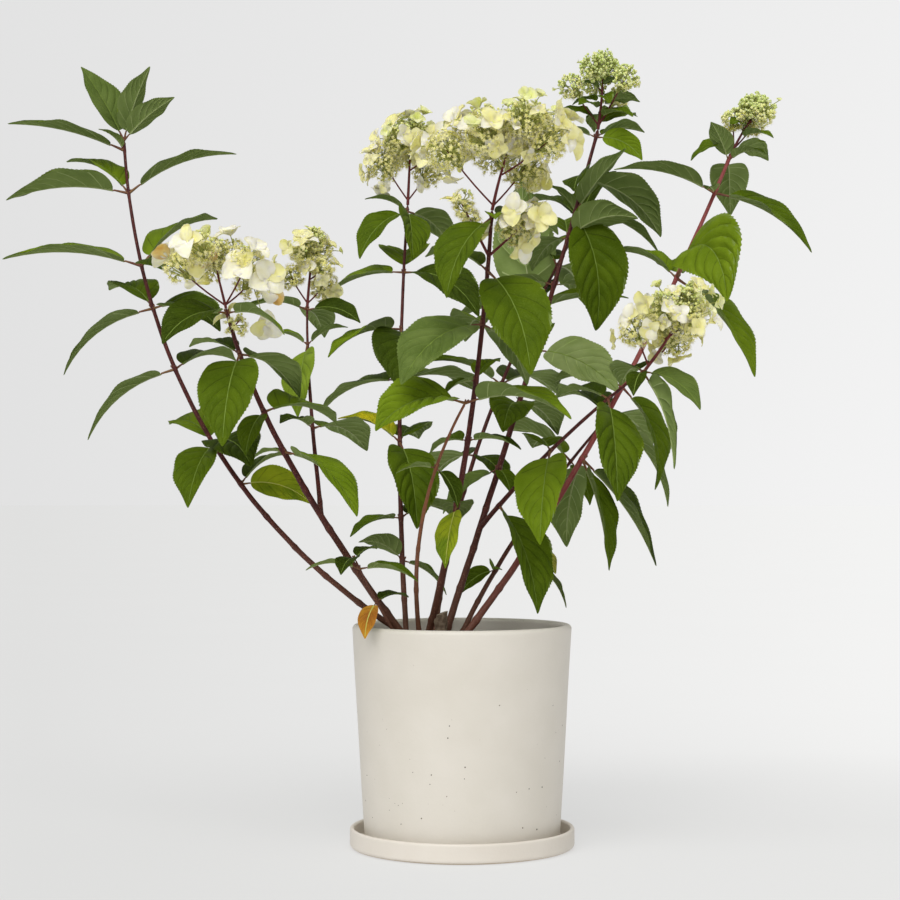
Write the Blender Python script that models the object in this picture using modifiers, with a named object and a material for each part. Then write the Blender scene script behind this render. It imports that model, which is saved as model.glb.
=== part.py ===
"""A panicle hydrangea in a straight-sided stoneware pot on its saucer.

Ten stems come up out of the soil round an old cut stump, and two more fork from them. Each stem is a bare
tapering limb up to its first leaves and a mass of leaves above, and seven carry a flower head. Metres, +Z
up. The origin is the middle of the saucer's underside, and the plant's open side, its front, faces -Y.
"""
from dataclasses import dataclass
from math import cos, pi, radians, sin, sqrt

import bmesh
import bpy
import numpy as np
from mathutils import Vector

# Driving dimensions
GAP = 0.0003                # what touching pieces keep between them
POT_TOP = 0.265             # height of the pot's rim above the table
RIM_RADIUS = 0.131
FOOT_RADIUS = 0.1165
WALL = 0.010
POT_FLOOR = 0.012
DRAIN_RADIUS = 0.009
SOIL_TOP = 0.235
SAUCER_RADIUS = 0.134
SAUCER_HEIGHT = 0.024
SAUCER_WALL = 0.0055
SAUCER_FLOOR = 0.006
SAUCER_BEVEL = 0.004
SAUCER_COVE = 0.003         # slope between the saucer's floor and its rim
TURNED_STEPS = 32
LEAF_LENGTH = 0.127         # blade of a full leaf
LEAF_HALF_WIDTH = 0.28      # as a share of the blade's length
LEAF_FOLD = 0.38            # rise of the edges for each metre of half width, at the blade's base
LEAF_THICKNESS = 0.014      # as a share of the blade's length
PETIOLE = 0.15              # petiole as a share of the blade's length
PETIOLE_RADIUS = 0.0012
LEAF_STATIONS = (0.2, 0.5, 0.8)
ARCH = 52                   # degrees by which a blade curves down from its base to its tip
LEAF_NOISE = (5, 4)         # degrees by which a leaf's arch and its roll may stray
STEM_TAPER = 0.52           # radius lost from a stem's foot to its tip
FLORET = 0.0165             # petal of a showy floret
FLORET_THICKNESS = 0.0012
PETAL_NOTCH = 0.62          # reach of the notch between two petals, as a share of a petal's
STALK_RADII = (0.0007, 0.0006)
BRANCH_RADII = (0.0011, 0.0009)
SEED = 7


@dataclass(frozen=True)
class Leaf:
    """One leaf of a whorl: where it points, how far its tip rises, its size, its curve and its roll."""

    turn: float
    pitch: float
    size: float
    arch: float = ARCH
    roll: float = 0.0


@dataclass(frozen=True)
class Panicle:
    """A flower head: the axis from its foot to its top, the reach of its branches and what it carries.

    Its arms are the lowest branches, which spring from its foot, a higher dome keeps it broad higher up, and
    its bloom is the size of its showy florets as a share of a common one's.
    """

    axis: tuple
    reach: float
    branches: int
    showy: int
    lump: float
    bare: float = 0.25
    arms: int = 2
    dome: float = 2.2
    bloom: float = 1.0


@dataclass(frozen=True)
class Stem:
    """A stem on a curve of three points, with its whorls of leaves and its flower head."""

    name: str
    foot: tuple
    elbow: tuple
    tip: tuple
    radius: float
    whorls: tuple
    fork: tuple = ()
    head: Panicle = None
    sprigs: tuple = ()


STEMS = (
    Stem("far_left", (-.038, -.004), (-.373, -.055, .4285), (-.411, .03, .85), .0037, (
        (.41, Leaf(358, -19, .62, roll=61), Leaf(41, 12, .6, roll=-6)),
        (.49, Leaf(258, -42, .85, roll=7), Leaf(295, -15, .95, roll=15), Leaf(129, 11, .75, roll=-17)),
        (.63, Leaf(188, -43, .95, roll=4), Leaf(52, 5, .75)),
        (.735, Leaf(188, -41, .95, roll=-4), Leaf(321, -20, .85, roll=20), Leaf(128, 12, .8, roll=-16)),
        (.805, Leaf(186, 0, 1.15, 36, -7), Leaf(297, -13, .62, roll=36), Leaf(45, 27, .95, roll=-8)),
        (.92, Leaf(190, -7, 1.02, 36, 3), Leaf(358, 17, .98, 40, 10), Leaf(152, 32, .75, roll=-5)),
        (.985, Leaf(183, 11, 1, 30, -4), Leaf(215, 20, .3)),
        (1, Leaf(178, 59, .72, 12, -43), Leaf(2, 70, .66, 12, -30), Leaf(358, 39, .56, 25, -29)))),
    Stem("left_flower", (-.056, -.03), (-.2324, -.105, .474), (-.264, -.18, .6272), .0045, (
        (.542, Leaf(317, -35, 1, roll=-14), Leaf(165, -4, .3)),
        (.662, Leaf(54, -8, .95, roll=13), Leaf(250, -50, .5)),
        (.845, Leaf(264, -52, 1, roll=6), Leaf(57, -35, .85, roll=8), Leaf(140, 5, .6)),
        (.985, Leaf(230, -26, .75, roll=-14), Leaf(329, -23, .6, roll=-11))),
        head=Panicle((-.014, -.010, .060), .070, 8, 8, .0185, .22, 3, bloom=1.4),
        sprigs=((.93, Panicle((.012, -.016, .010), .010, 1, 0, .0120, arms=0)),)),
    Stem("left_back", (), (-.1924, .085, .5553), (-.196, .15, .657), .0028, (
        (.35, Leaf(60, -15, .9), Leaf(240, 0, .5)),
        (.77, Leaf(263, -60, .8, roll=35), Leaf(180, 15, .35), Leaf(0, 20, .4)),
        (.985, Leaf(212, -7, .65, roll=-2), Leaf(338, -28, .55, roll=26), Leaf(80, -20, .7))),
        fork=("left_flower", .355),
        head=Panicle((.008, .010, .092), .052, 8, 3, .0165, .18, 2, 1.4)),
    Stem("centre_left", (-.066, .022), (-.087, .1125, .4975), (-.07, .24, .80), .0035, (
        (.195, Leaf(217, 16, .5, roll=24), Leaf(345, -40, .5)),
        (.29, Leaf(215, -20, .55), Leaf(50, -10, .7)),
        (.46, Leaf(285, -54, 1, roll=-13), Leaf(167, 27, .62, roll=-20), Leaf(80, 0, .9)),
        (.6, Leaf(146, -20, .95, roll=-17), Leaf(40, -10, 1)),
        (.715, Leaf(271, -39, 1.05, roll=-1), Leaf(222, -32, .9, roll=15)),
        (.845, Leaf(161, -19, .85, roll=-13), Leaf(321, -31, 1, roll=16), Leaf(90, 10, 1)),
        (.985, Leaf(276, -55, .8, roll=-32), Leaf(221, -44, .75, roll=-17),
         Leaf(48, -29, .7, roll=-11), Leaf(178, 13, .42, roll=1))),
        head=Panicle((.004, .010, .100), .067, 9, 6, .0220, .30, bloom=1.15)),
    Stem("brown", (-.048, -.024), (-.0725, -.075, .3905), (.003, -.13, .524), .0030, (
        (.73, Leaf(320, -58, .4), Leaf(200, -10, .35)),
        (1, Leaf(223, -18, 1, roll=-23), Leaf(327, -12, 1, roll=-4)))),
    Stem("centre", (-.045, .014), (.016, -.0635, .462), (.033, -.157, .74), .0044, (
        (.365, Leaf(253, -60, .6, 40, 28), Leaf(90, -20, .6)),
        (.515, Leaf(136, -16, .45, roll=-16), Leaf(332, -12, .5, roll=-4)),
        (.65, Leaf(215, -25, .35), Leaf(60, 20, .45)),
        (.77, Leaf(228, -42, 1.1, roll=-17), Leaf(53, -50, .8, roll=2), Leaf(100, -10, .8)),
        (.88, Leaf(298, -55, 1.12, roll=8), Leaf(139, 10, .7)),
        (.985, Leaf(212, -33, .9, roll=-7), Leaf(45, -8, .8), Leaf(275, -12, .3))),
        head=Panicle((.024, -.016, .086), .090, 13, 11, .0240, .36, bloom=1.15),
        sprigs=((.91, Panicle((-.034, -.026, .062), .018, 3, 1, .0120, .6, 0)),
                (.91, Panicle((.046, -.034, .038), .028, 4, 4, .0150, .5, 0)))),
    Stem("tall", (-.026, .012), (.079, .076, .543), (.172, .12, .879), .0044, (
        (.345, Leaf(191, -41, .62, 40, -18), Leaf(290, -40, .35)),
        (.47, Leaf(258, -23, .8, roll=-13), Leaf(60, -22, .8)),
        (.575, Leaf(322, -27, .95, 40, 39), Leaf(90, 12, .8)),
        (.7, Leaf(350, -15, .4), Leaf(175, -10, .6)),
        (.79, Leaf(112, -19, .8, roll=-7), Leaf(323, 6, .75, roll=-27), Leaf(90, 10, .9)),
        (.84, Leaf(312, -80, 1.1, roll=24), Leaf(9, -28, .85, roll=2), Leaf(344, 49, .7, 20, -13)),
        (.905, Leaf(19, -37, .9, roll=-18), Leaf(257, -32, .6, roll=35)),
        (.985, Leaf(336, -42, .5, roll=53), Leaf(178, -2, .45), Leaf(2, -15, .5, roll=-1))),
        head=Panicle((.008, .004, .092), .060, 9, 0, .0155, .30, 3, 1.2)),
    Stem("right_flower", (), (.105, -.08, .485), (.206, -.15, .561), .0031, (
        (.135, Leaf(298, -57, 1.1, roll=-20)),
        (.465, Leaf(260, -53, 1, roll=20), Leaf(100, 0, .7)),
        (.8, Leaf(273, -59, 1, roll=-35), Leaf(131, 0, .6, roll=-4)),
        (.985, Leaf(299, -64, .9, roll=-50), Leaf(330, -36, .6, roll=15), Leaf(250, -40, .35),
         Leaf(100, -10, .7))),
        fork=("tall", .23),
        head=Panicle((.050, -.016, .080), .062, 9, 6, .0200, .26, bloom=1.1)),
    Stem("far_right", (-.010, -.012), (.179, .06, .471), (.334, .07, .843), .0044, (
        (.22, Leaf(9, -52, .6, roll=8), Leaf(48, -23, .5, roll=-21)),
        (.43, Leaf(110, -70, .85, roll=-12), Leaf(294, -65, 1.05, 36, -43), Leaf(2, -67, 1.1, 30, 6)),
        (.575, Leaf(347, -76, .95, roll=17), Leaf(150, 0, .7)),
        (.78, Leaf(149, 20, .68, roll=-4), Leaf(287, -24, 1.35, 120, 46),
         Leaf(325, -52, 1.15, 36, -12), Leaf(80, 5, .9)),
        (.93, Leaf(161, 12, .9, 36, 2), Leaf(344, -36, 1, 40, 13), Leaf(250, -5, .3)),
        (.985, Leaf(81, -39, .72, roll=-1), Leaf(234, 42, .42, 30, 12), Leaf(316, -3, .42, 60, 9))),
        head=Panicle((.036, .004, .060), .038, 7, 0, .0145, .42)),
    Stem("low_right", (-.008, .024), (.055, .07, .3725), (.19, .2, .52), .0034, (
        (.33, Leaf(264, 1, .3, 40, -48), Leaf(186, -47, .36, roll=-41)),
        (.8, Leaf(117, 37, .85, roll=19), Leaf(300, -55, .5)),
        (1, Leaf(341, -59, 1, roll=-11), Leaf(60, -20, 1), Leaf(120, 10, .9)))),
    Stem("back_right", (-.035, .042), (-.007, .22, .4875), (.156, .21, .7735), .0034, (
        (.45, Leaf(120, -20, .9), Leaf(300, -30, .6)),
        (.62, Leaf(60, -15, 1.1), Leaf(200, -10, .8)),
        (.8, Leaf(355, 4, .85, 36, 6), Leaf(150, -10, .9), Leaf(90, 0, 1),
         Leaf(311, 75, 1.22, 24, -41)),
        (.9, Leaf(70, -20, 1), Leaf(119, 5, .8, roll=27)),
        (1, Leaf(40, 45, .7), Leaf(200, 50, .5), Leaf(120, 25, .9), Leaf(75, -10, .7)))),
    Stem("low_left", (-.066, -.060), (-.098, -.076, .29), (-.124, -.090, .345), .0020, (
        (.55, Leaf(240, -62, .35), Leaf(50, 0, .4)),
        (.9, Leaf(180, 5, .45), Leaf(350, -15, .5)),
        (1, Leaf(235, -40, .4), Leaf(60, 10, .35)))),
)

# How the growth rule keeps pieces apart
LEAF_CLEAR = 0.007          # between one blade and the next
LIMB_CLEAR = 0.008          # from a blade to the axis of a stem
ROOM_AT_ROOT = 0.020        # stretch of its own stem that a leaf may be near
POT_CLEAR = 0.008
TRIES = ((0, 0), (0, 10), (0, -10), (10, 0), (-10, 0), (10, 10), (-10, 10), (10, -10), (-10, -10),
         (20, 0), (-20, 0), (0, 20), (0, -20), (20, 20), (-20, 20), (20, -20), (-20, -20))
BARE_BELOW_LEAVES = 0.012   # the limb ends this far under its first whorl
FORK_CLEAR = 0.0004         # a forked limb's cut is a many-sided tube, so it takes a little over the gap
STEM_POINTS = 12            # points along a whole stem
STUB_FOOT = (-0.027, -0.016)    # a stump of old wood between the stems
STUB_LEAN = (0.004, -0.004)
STUB_HEIGHT = 0.044
STUB_RADII = (0.0086, 0.0082, 0.0074, 0.0078, 0.0066)
STEM_SUNK = 0.012           # run of a limb below the soil, before its foot is cut level
CUT_STRETCH = 0.012         # share of a stem that runs straight on each side of the cut
GOLDEN_TURN = radians(137.5)
HEAD_STRETCH = 0.004        # a head's axis starts straight on from its stem
ARM_START = 0.06            # where a head's arms leave its axis, as a share of it
HEAD_AXIS_RADII = (0.0019, 0.0018, 0.0015, 0.0010)

COLOURS = {
    "stem": (0.085, 0.032, 0.026), "leaf": (0.075, 0.130, 0.030), "cream": (0.72, 0.68, 0.40),
    "bud": (0.36, 0.46, 0.16), "pot": (0.76, 0.73, 0.66), "soil": (0.045, 0.030, 0.020),
}


# The growth rule

def stem_named(name):
    """The stem with this name."""
    return next(stem for stem in STEMS if stem.name == name)


def stem_at(stem, share):
    """Points of a stem's axis at shares of its length: the curve of foot, elbow and tip."""
    if stem.fork:
        parent, where = stem.fork
        foot = stem_at(stem_named(parent), where)[0]
    else:
        foot = np.array([*stem.foot, SOIL_TOP])
    elbow, tip = np.array(stem.elbow), np.array(stem.tip)
    t = np.atleast_1d(np.asarray(share, float))[:, None]
    return (1 - t) ** 2 * foot + 2 * t * (1 - t) * elbow + t ** 2 * tip


def stem_radius(stem, share):
    """Radius of a stem at a share of its length."""
    return stem.radius * (1 - STEM_TAPER * share)


def blade_half_width(share):
    """Half width of a blade along its length, about 1 at its widest: round at the base, pointed at the tip."""
    share = np.asarray(share, float)
    return np.sin(pi * share ** 0.8) ** 0.62 * (1 - 0.25 * share ** 2)


@dataclass
class GrownLeaf:
    """A leaf in its place: its root on the stem's axis, its heading and the angles of its blade."""

    root: np.ndarray
    turn: float
    lift: float
    arch: float
    length: float
    roll: float

    def frame(self, share):
        """Directions along the midrib, across the blade and out of its face, at shares of its length."""
        turn, roll = radians(self.turn), radians(self.roll)
        level = np.array([cos(turn), sin(turn), 0.0])
        side = np.array([-sin(turn), cos(turn), 0.0])
        angle = np.radians(self.lift - self.arch * np.asarray(share, float))
        along = np.outer(np.cos(angle), level) + np.outer(np.sin(angle), (0.0, 0.0, 1.0))
        face = np.cross(along, side)
        return along, side * cos(roll) + face * sin(roll), face * cos(roll) - side * sin(roll)

    def midrib(self, share):
        """Points of the midrib: the petiole's end, then the sum of the heading along the blade."""
        fine = np.linspace(0, 1, 41)
        along = self.frame(fine)[0]
        steps = (along[1:] + along[:-1]) / 2 * self.length / 40
        path = np.vstack([np.zeros(3), np.cumsum(steps, axis=0)])
        blade_start = self.root + along[0] * PETIOLE * self.length
        return blade_start + np.stack([np.interp(share, fine, path[:, k]) for k in range(3)], axis=1)

    def blade(self, share, across):
        """Points of the blade at shares of its length and, from -1 to 1, of its half width."""
        share, across = np.asarray(share, float), np.asarray(across, float)
        _, side, face = self.frame(share)
        half = (blade_half_width(share) * LEAF_HALF_WIDTH * self.length)[:, None]
        rise = np.abs(across)[:, None] * half * LEAF_FOLD * (1 - 0.6 * share)[:, None]
        return self.midrib(share) + side * across[:, None] * half + face * rise


@dataclass
class Branch:
    """A branch of a flower head: from the axis to its end, where its florets stand in a lump."""

    start: np.ndarray
    end: np.ndarray
    lump: float


@dataclass
class ShowyFloret:
    """A showy floret of four petals: where its stalk starts, its middle, the way it faces and its size."""

    start: np.ndarray
    middle: np.ndarray
    facing: np.ndarray
    size: float


def unit(vector):
    """The vector at a length of one."""
    return vector / np.linalg.norm(vector)


def panicle_branches(panicle, foot, rng):
    """Branches round the axis at the golden turn, longest low down and shortest at the top."""
    axis = np.array(panicle.axis)
    found = []
    for k in range(panicle.branches):
        height = k / max(panicle.branches - 1, 1)
        start = foot + axis * (panicle.bare + (0.92 - panicle.bare) * height)
        spread = (1 - height ** panicle.dome) ** 0.6
        reach = panicle.reach * spread * rng.uniform(0.78, 1.0) - panicle.lump
        reach = max(reach, panicle.lump * 0.25)
        turn = k * GOLDEN_TURN + 0.9
        rise = 0.45 + 0.5 * height
        end = start + np.array([cos(turn), sin(turn), rise]) * reach
        if k < panicle.arms:
            start = foot + axis * ARM_START
        found.append(Branch(start, end, panicle.lump * rng.uniform(0.85, 1.1)))
    return found


def showy_florets(panicle, branches, foot, rng):
    """Showy florets stand out past the lumps, faces turned out and up, spread over the branches."""
    middle = foot + np.array(panicle.axis) * 0.62
    found = []
    for k in range(panicle.showy):
        branch = branches[(k * 5 + 1) % len(branches)]
        out = unit(branch.end - middle + rng.uniform(-0.4, 0.4, 3) * panicle.reach)
        facing = unit(out + np.array([0.0, 0.0, 0.35]))
        place = branch.end + out * branch.lump * 1.25
        size = FLORET * panicle.bloom * rng.uniform(0.75, 1.1)
        found.append(ShowyFloret(branch.end, place, facing, size))
    return found


def grow_heads():
    """Every flower head and sprig with its branches and showy florets, by the name of its stem."""
    rng = np.random.default_rng(SEED)
    heads, sprigs = {}, {}
    for stem in STEMS:
        if stem.head:
            ends = stem_at(stem, [0.99, 1.0])
            foot = ends[1] + unit(ends[1] - ends[0]) * GAP
            branches = panicle_branches(stem.head, foot, rng)
            heads[stem.name] = (foot, branches, showy_florets(stem.head, branches, foot, rng))
        for share, panicle in stem.sprigs:
            foot = stem_at(stem, share)[0]
            branches = panicle_branches(panicle, foot, rng)
            florets = showy_florets(panicle, branches, foot, rng)
            sprigs.setdefault(stem.name, []).append((panicle, foot, branches, florets))
    return heads, sprigs


def nearest(points, others):
    """Least distance between two sets of points."""
    return sqrt(((points[:, None] - others[None]) ** 2).sum(axis=2).min())


def leaf_has_room(points, root, own, others, limbs, lumps):
    """Whether a blade keeps clear of the pot, the stems, the flower heads and the leaves already grown."""
    radius = np.hypot(points[:, 0], points[:, 1])
    over_pot = radius < SAUCER_RADIUS + POT_CLEAR
    if (points[over_pot, 2] < POT_TOP + POT_CLEAR).any():
        return False
    if own and nearest(points, np.vstack(own)) < LEAF_CLEAR * 0.6:
        return False
    if others and nearest(points, np.vstack(others)) < LEAF_CLEAR:
        return False
    far = limbs[np.linalg.norm(limbs - root, axis=1) > ROOM_AT_ROOT]
    if nearest(points, far) < LIMB_CLEAR:
        return False
    middles, radii = lumps
    spread = np.linalg.norm(points[:, None] - middles[None], axis=2)
    return bool((spread > radii[None] + LEAF_CLEAR * 0.5).all())


def grow_leaves(heads, sprigs):
    """Every leaf with room for it, by the name of its stem. A leaf with no room turns or tilts a little."""
    rng = np.random.default_rng(SEED)
    limbs = np.vstack([stem_at(stem, np.linspace(0, 1, 60)) for stem in STEMS])
    every = [branch for _, branches, _ in heads.values() for branch in branches]
    every += [branch for group in sprigs.values() for _, _, branches, _ in group for branch in branches]
    lumps = np.array([branch.end for branch in every]), np.array([branch.lump for branch in every])
    share, across = (grid.ravel() for grid in np.meshgrid(np.linspace(0.1, 0.98, 11),
                                                          np.linspace(-0.9, 0.9, 7)))
    grown, others = {}, []
    for stem in STEMS:
        own = []
        grown[stem.name] = []
        for where, *leaves in stem.whorls:
            root = stem_at(stem, where)[0]
            for leaf in leaves:
                noise = rng.uniform(-1, 1, 2)
                arch = leaf.arch + LEAF_NOISE[0] * noise[0]
                roll = leaf.roll + LEAF_NOISE[1] * noise[1]
                for turn, tilt in TRIES:
                    lift = leaf.pitch + tilt + arch / 2
                    trial = GrownLeaf(root, leaf.turn + turn, lift, arch, LEAF_LENGTH * leaf.size, roll)
                    points = trial.blade(share, across)
                    if leaf_has_room(points, root, own, others, limbs, lumps):
                        own.append(points)
                        grown[stem.name].append(trial)
                        break
        others.extend(own)
    return grown


# Making meshes

def material(name, colour, roughness=0.6):
    """A plain surface of one colour."""
    made = bpy.data.materials.new(name)
    made.use_nodes = True
    shader = made.node_tree.nodes["Principled BSDF"]
    shader.inputs["Base Color"].default_value = (*colour, 1.0)
    shader.inputs["Roughness"].default_value = roughness
    return made


def add_object(name, data, collection):
    """An object with this mesh or curve, in a collection."""
    made = bpy.data.objects.new(name, data)
    collection.objects.link(made)
    return made


def tube(name, points, radii, collection, resolution=2):
    """A round tube through points, with a radius for each: a beveled curve with filled caps, made a mesh."""
    curve = bpy.data.curves.new(name, "CURVE")
    curve.dimensions = "3D"
    curve.bevel_depth = 1.0
    curve.bevel_resolution = resolution
    curve.use_fill_caps = True
    spline = curve.splines.new("POLY")
    spline.points.add(len(points) - 1)
    spline.points.foreach_set("co", np.column_stack([points, np.ones(len(points))]).ravel())
    spline.points.foreach_set("radius", np.asarray(radii, float))
    guide = add_object(name + "_line", curve, collection)
    depsgraph = bpy.context.evaluated_depsgraph_get()
    mesh = bpy.data.meshes.new_from_object(guide.evaluated_get(depsgraph))
    edit = bmesh.new()
    edit.from_mesh(mesh)
    bmesh.ops.remove_doubles(edit, verts=edit.verts, dist=0.00002)
    bmesh.ops.recalc_face_normals(edit, faces=edit.faces)
    edit.to_mesh(mesh)
    edit.free()
    made = add_object(name, mesh, collection)
    made.matrix_world = guide.matrix_world
    bpy.data.objects.remove(guide)
    return made


def turned(name, profile, collection):
    """A turned piece from its profile of radius and height, which runs down the outer side."""
    mesh = bpy.data.meshes.new(name)
    points = [(radius, 0.0, height) for radius, height in profile]
    closed = profile[0][0] > 0 and profile[-1][0] > 0
    count = len(points)
    edges = [(k, (k + 1) % count) for k in range(count if closed else count - 1)]
    mesh.from_pydata(points, edges, [])
    made = add_object(name, mesh, collection)
    screw = made.modifiers.new("turn", "SCREW")
    screw.axis = "Z"
    screw.steps = TURNED_STEPS
    screw.render_steps = TURNED_STEPS
    screw.use_merge_vertices = True
    screw.merge_threshold = 0.00005
    return made


def arc(middle, radius, start, end, count=4):
    """Points of a round edge in a profile, between two angles in degrees."""
    angles = [radians(start + (end - start) * k / (count - 1)) for k in range(count)]
    return [(middle[0] + radius * cos(angle), middle[1] + radius * sin(angle)) for angle in angles]


def leaf_solid(name, leaf, collection):
    """A closed leaf: four corners round each end of its petiole and each station of its blade, and a tip."""
    stations = np.array(LEAF_STATIONS)
    edge = np.ones(len(stations))
    middle = leaf.midrib(stations)
    _, side, face = leaf.frame([0.0, *stations])
    thick = face[1:] * LEAF_THICKNESS * leaf.length / 2
    slim = PETIOLE_RADIUS * (0.3 + 0.7 * leaf.length / LEAF_LENGTH)
    petiole = slim * np.stack([-side[0], -face[0], side[0], face[0]])
    rings = [leaf.root + petiole, leaf.midrib([0.0]) + petiole]
    rings += list(np.stack([leaf.blade(stations, -edge), middle - thick,
                            leaf.blade(stations, edge), middle + thick], axis=1))
    points = np.vstack([*rings, leaf.midrib([1.0])]).tolist()
    faces = [(0, 1, 2, 3)]
    for low in range(0, 4 * (len(rings) - 1), 4):
        faces += [(low + k, low + 4 + k, low + 4 + (k + 1) % 4, low + (k + 1) % 4) for k in range(4)]
    tip = len(points) - 1
    faces += [(tip - 4 + k, tip, tip - 4 + (k + 1) % 4) for k in range(4)]
    return solid(name, points, faces, collection)


def solid(name, points, faces, collection):
    """A closed mesh of flat triangles whose faces point out."""
    mesh = bpy.data.meshes.new(name)
    mesh.from_pydata(points, [], faces)
    edit = bmesh.new()
    edit.from_mesh(mesh)
    bmesh.ops.triangulate(edit, faces=edit.faces)
    bmesh.ops.recalc_face_normals(edit, faces=edit.faces)
    edit.to_mesh(mesh)
    edit.free()
    return add_object(name, mesh, collection)


def floret_solid(name, floret, collection):
    """A showy floret as a thin four-lobed plate on a three-sided stalk, in one closed mesh each."""
    across = unit(np.cross(floret.facing, (0.31, 0.92, 0.24)))
    up = np.cross(floret.facing, across)
    half = floret.facing * FLORET_THICKNESS / 2
    points = []
    for offset in (half, -half):
        for k in range(8):
            reach = floret.size * (1.0 if k % 2 == 0 else PETAL_NOTCH)
            angle = pi / 4 * k
            spot = floret.middle + reach * (across * cos(angle) + up * sin(angle)) + offset
            points.append(tuple(spot))
    faces = [tuple(range(8)), tuple(range(15, 7, -1))]
    faces += [(k, k + 8, (k + 1) % 8 + 8, (k + 1) % 8) for k in range(8)]
    plate = solid(name, points, faces, collection)
    stalk_end = floret.middle + floret.facing * FLORET_THICKNESS / 6
    stalk = twig(name + "_stalk", floret.start, stalk_end, STALK_RADII, collection)
    return [plate, stalk]


def twig(name, start, end, radii, collection):
    """A straight three-sided twig between two points, with a radius for each."""
    along = unit(np.asarray(end) - start)
    across = unit(np.cross(along, (0.21, 0.33, 0.92)))
    up = np.cross(along, across)
    points = []
    for middle, radius in zip((start, end), radii):
        for k in range(3):
            angle = 2 * pi / 3 * k
            points.append(tuple(middle + radius * (across * cos(angle) + up * sin(angle))))
    faces = [(0, 1, 2), (5, 4, 3), (0, 3, 4, 1), (1, 4, 5, 2), (2, 5, 3, 0)]
    return solid(name, points, faces, collection)


def lump(name, middle, radius, turn, collection):
    """A lump of small florets: a ball of twenty faces, turned by its place in the head."""
    mesh = bpy.data.meshes.new(name)
    edit = bmesh.new()
    bmesh.ops.create_icosphere(edit, subdivisions=1, radius=radius)
    bmesh.ops.rotate(edit, verts=edit.verts, cent=(0, 0, 0), matrix=Vector((0.3, 0.5, 0.8)).normalized()
                     .rotation_difference(Vector((sin(turn), cos(turn), 0.4)).normalized()).to_matrix())
    bmesh.ops.translate(edit, verts=edit.verts, vec=Vector(middle))
    edit.to_mesh(mesh)
    edit.free()
    return add_object(name, mesh, collection)


def join_pieces(name, base, pieces, finish):
    """Fuses loose pieces onto a base by one Boolean union, applied, and takes the pieces away."""
    loose = bpy.data.collections.new(name + "_pieces")
    bpy.context.scene.collection.children.link(loose)
    for piece in pieces:
        for holder in list(piece.users_collection):
            holder.objects.unlink(piece)
        loose.objects.link(piece)
    union = base.modifiers.new("fuse", "BOOLEAN")
    union.operation = "UNION"
    union.operand_type = "COLLECTION"
    union.collection = loose
    apply_modifiers(base)
    for piece in list(loose.objects):
        bpy.data.objects.remove(piece)
    bpy.data.collections.remove(loose)
    base.name = name
    dress(base, finish)
    return base


def apply_modifiers(piece):
    """Turns a piece's evaluated shape into its mesh of triangles."""
    depsgraph = bpy.context.evaluated_depsgraph_get()
    mesh = bpy.data.meshes.new_from_object(piece.evaluated_get(depsgraph))
    piece.modifiers.clear()
    piece.data = mesh
    edit = bmesh.new()
    edit.from_mesh(mesh)
    bmesh.ops.triangulate(edit, faces=edit.faces)
    edit.to_mesh(mesh)
    edit.free()


def dress(piece, finish):
    """Gives a piece its one material."""
    piece.data.materials.clear()
    piece.data.materials.append(finish)


# The pieces

def make_pot(collection):
    """The pot: straight walls that open a little, a soft rim, a flat floor with a drain hole."""
    bottom = SAUCER_FLOOR + GAP
    edge = 0.004
    lip = WALL / 2
    inner_foot = FOOT_RADIUS - WALL
    floor = bottom + POT_FLOOR
    profile = [(RIM_RADIUS - WALL, POT_TOP - lip)]
    profile += arc((RIM_RADIUS - lip, POT_TOP - lip), lip, 180, 0, 7)[1:]
    profile += arc((FOOT_RADIUS - edge, bottom + edge), edge, 0, -90)
    profile += [(DRAIN_RADIUS, bottom), (DRAIN_RADIUS, floor), (inner_foot, floor)]
    pot = turned("pot", profile, collection)
    dress(pot, material("stoneware", COLOURS["pot"], 0.55))
    return pot


def make_saucer(collection):
    """The saucer: a flat floor inside a thin upright rim, its underside set in from the edge."""
    lip = SAUCER_WALL / 2
    inner = SAUCER_RADIUS - SAUCER_WALL
    foot_ring = SAUCER_RADIUS - 2 * SAUCER_BEVEL
    profile = [(0.0, SAUCER_FLOOR), (inner - SAUCER_COVE, SAUCER_FLOOR)]
    profile += [(inner, SAUCER_FLOOR + SAUCER_COVE)]
    profile += arc((SAUCER_RADIUS - lip, SAUCER_HEIGHT - lip), lip, 180, 0, 5)
    profile += arc((SAUCER_RADIUS - SAUCER_BEVEL, 1.25 * SAUCER_BEVEL), SAUCER_BEVEL, 0, -90, 3)
    profile += [(foot_ring, 0.0), (0.0, 0.0)]
    saucer = turned("saucer", profile, collection)
    dress(saucer, material("saucer_stoneware", COLOURS["pot"], 0.55))
    return saucer


def make_soil(collection):
    """The soil: it fills the pot from its floor to below the rim, clear of the wall."""
    floor = SAUCER_FLOOR + POT_FLOOR + 2 * GAP
    slope = (RIM_RADIUS - FOOT_RADIUS) / (POT_TOP - SAUCER_FLOOR)
    low = FOOT_RADIUS - WALL - 2 * GAP
    high = low + slope * (SOIL_TOP - floor) - GAP
    soil = turned("soil", [(0.0, SOIL_TOP), (high, SOIL_TOP), (low, floor), (0.0, floor)], collection)
    dress(soil, material("potting_soil", COLOURS["soil"], 0.95))
    return soil


def first_whorl(stem):
    """Share of the stem at which its bare limb ends, a little under its lowest leaves."""
    length = np.linalg.norm(np.diff(stem_at(stem, np.linspace(0, 1, 40)), axis=0), axis=1).sum()
    return stem.whorls[0][0] - BARE_BELOW_LEAVES / length


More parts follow.
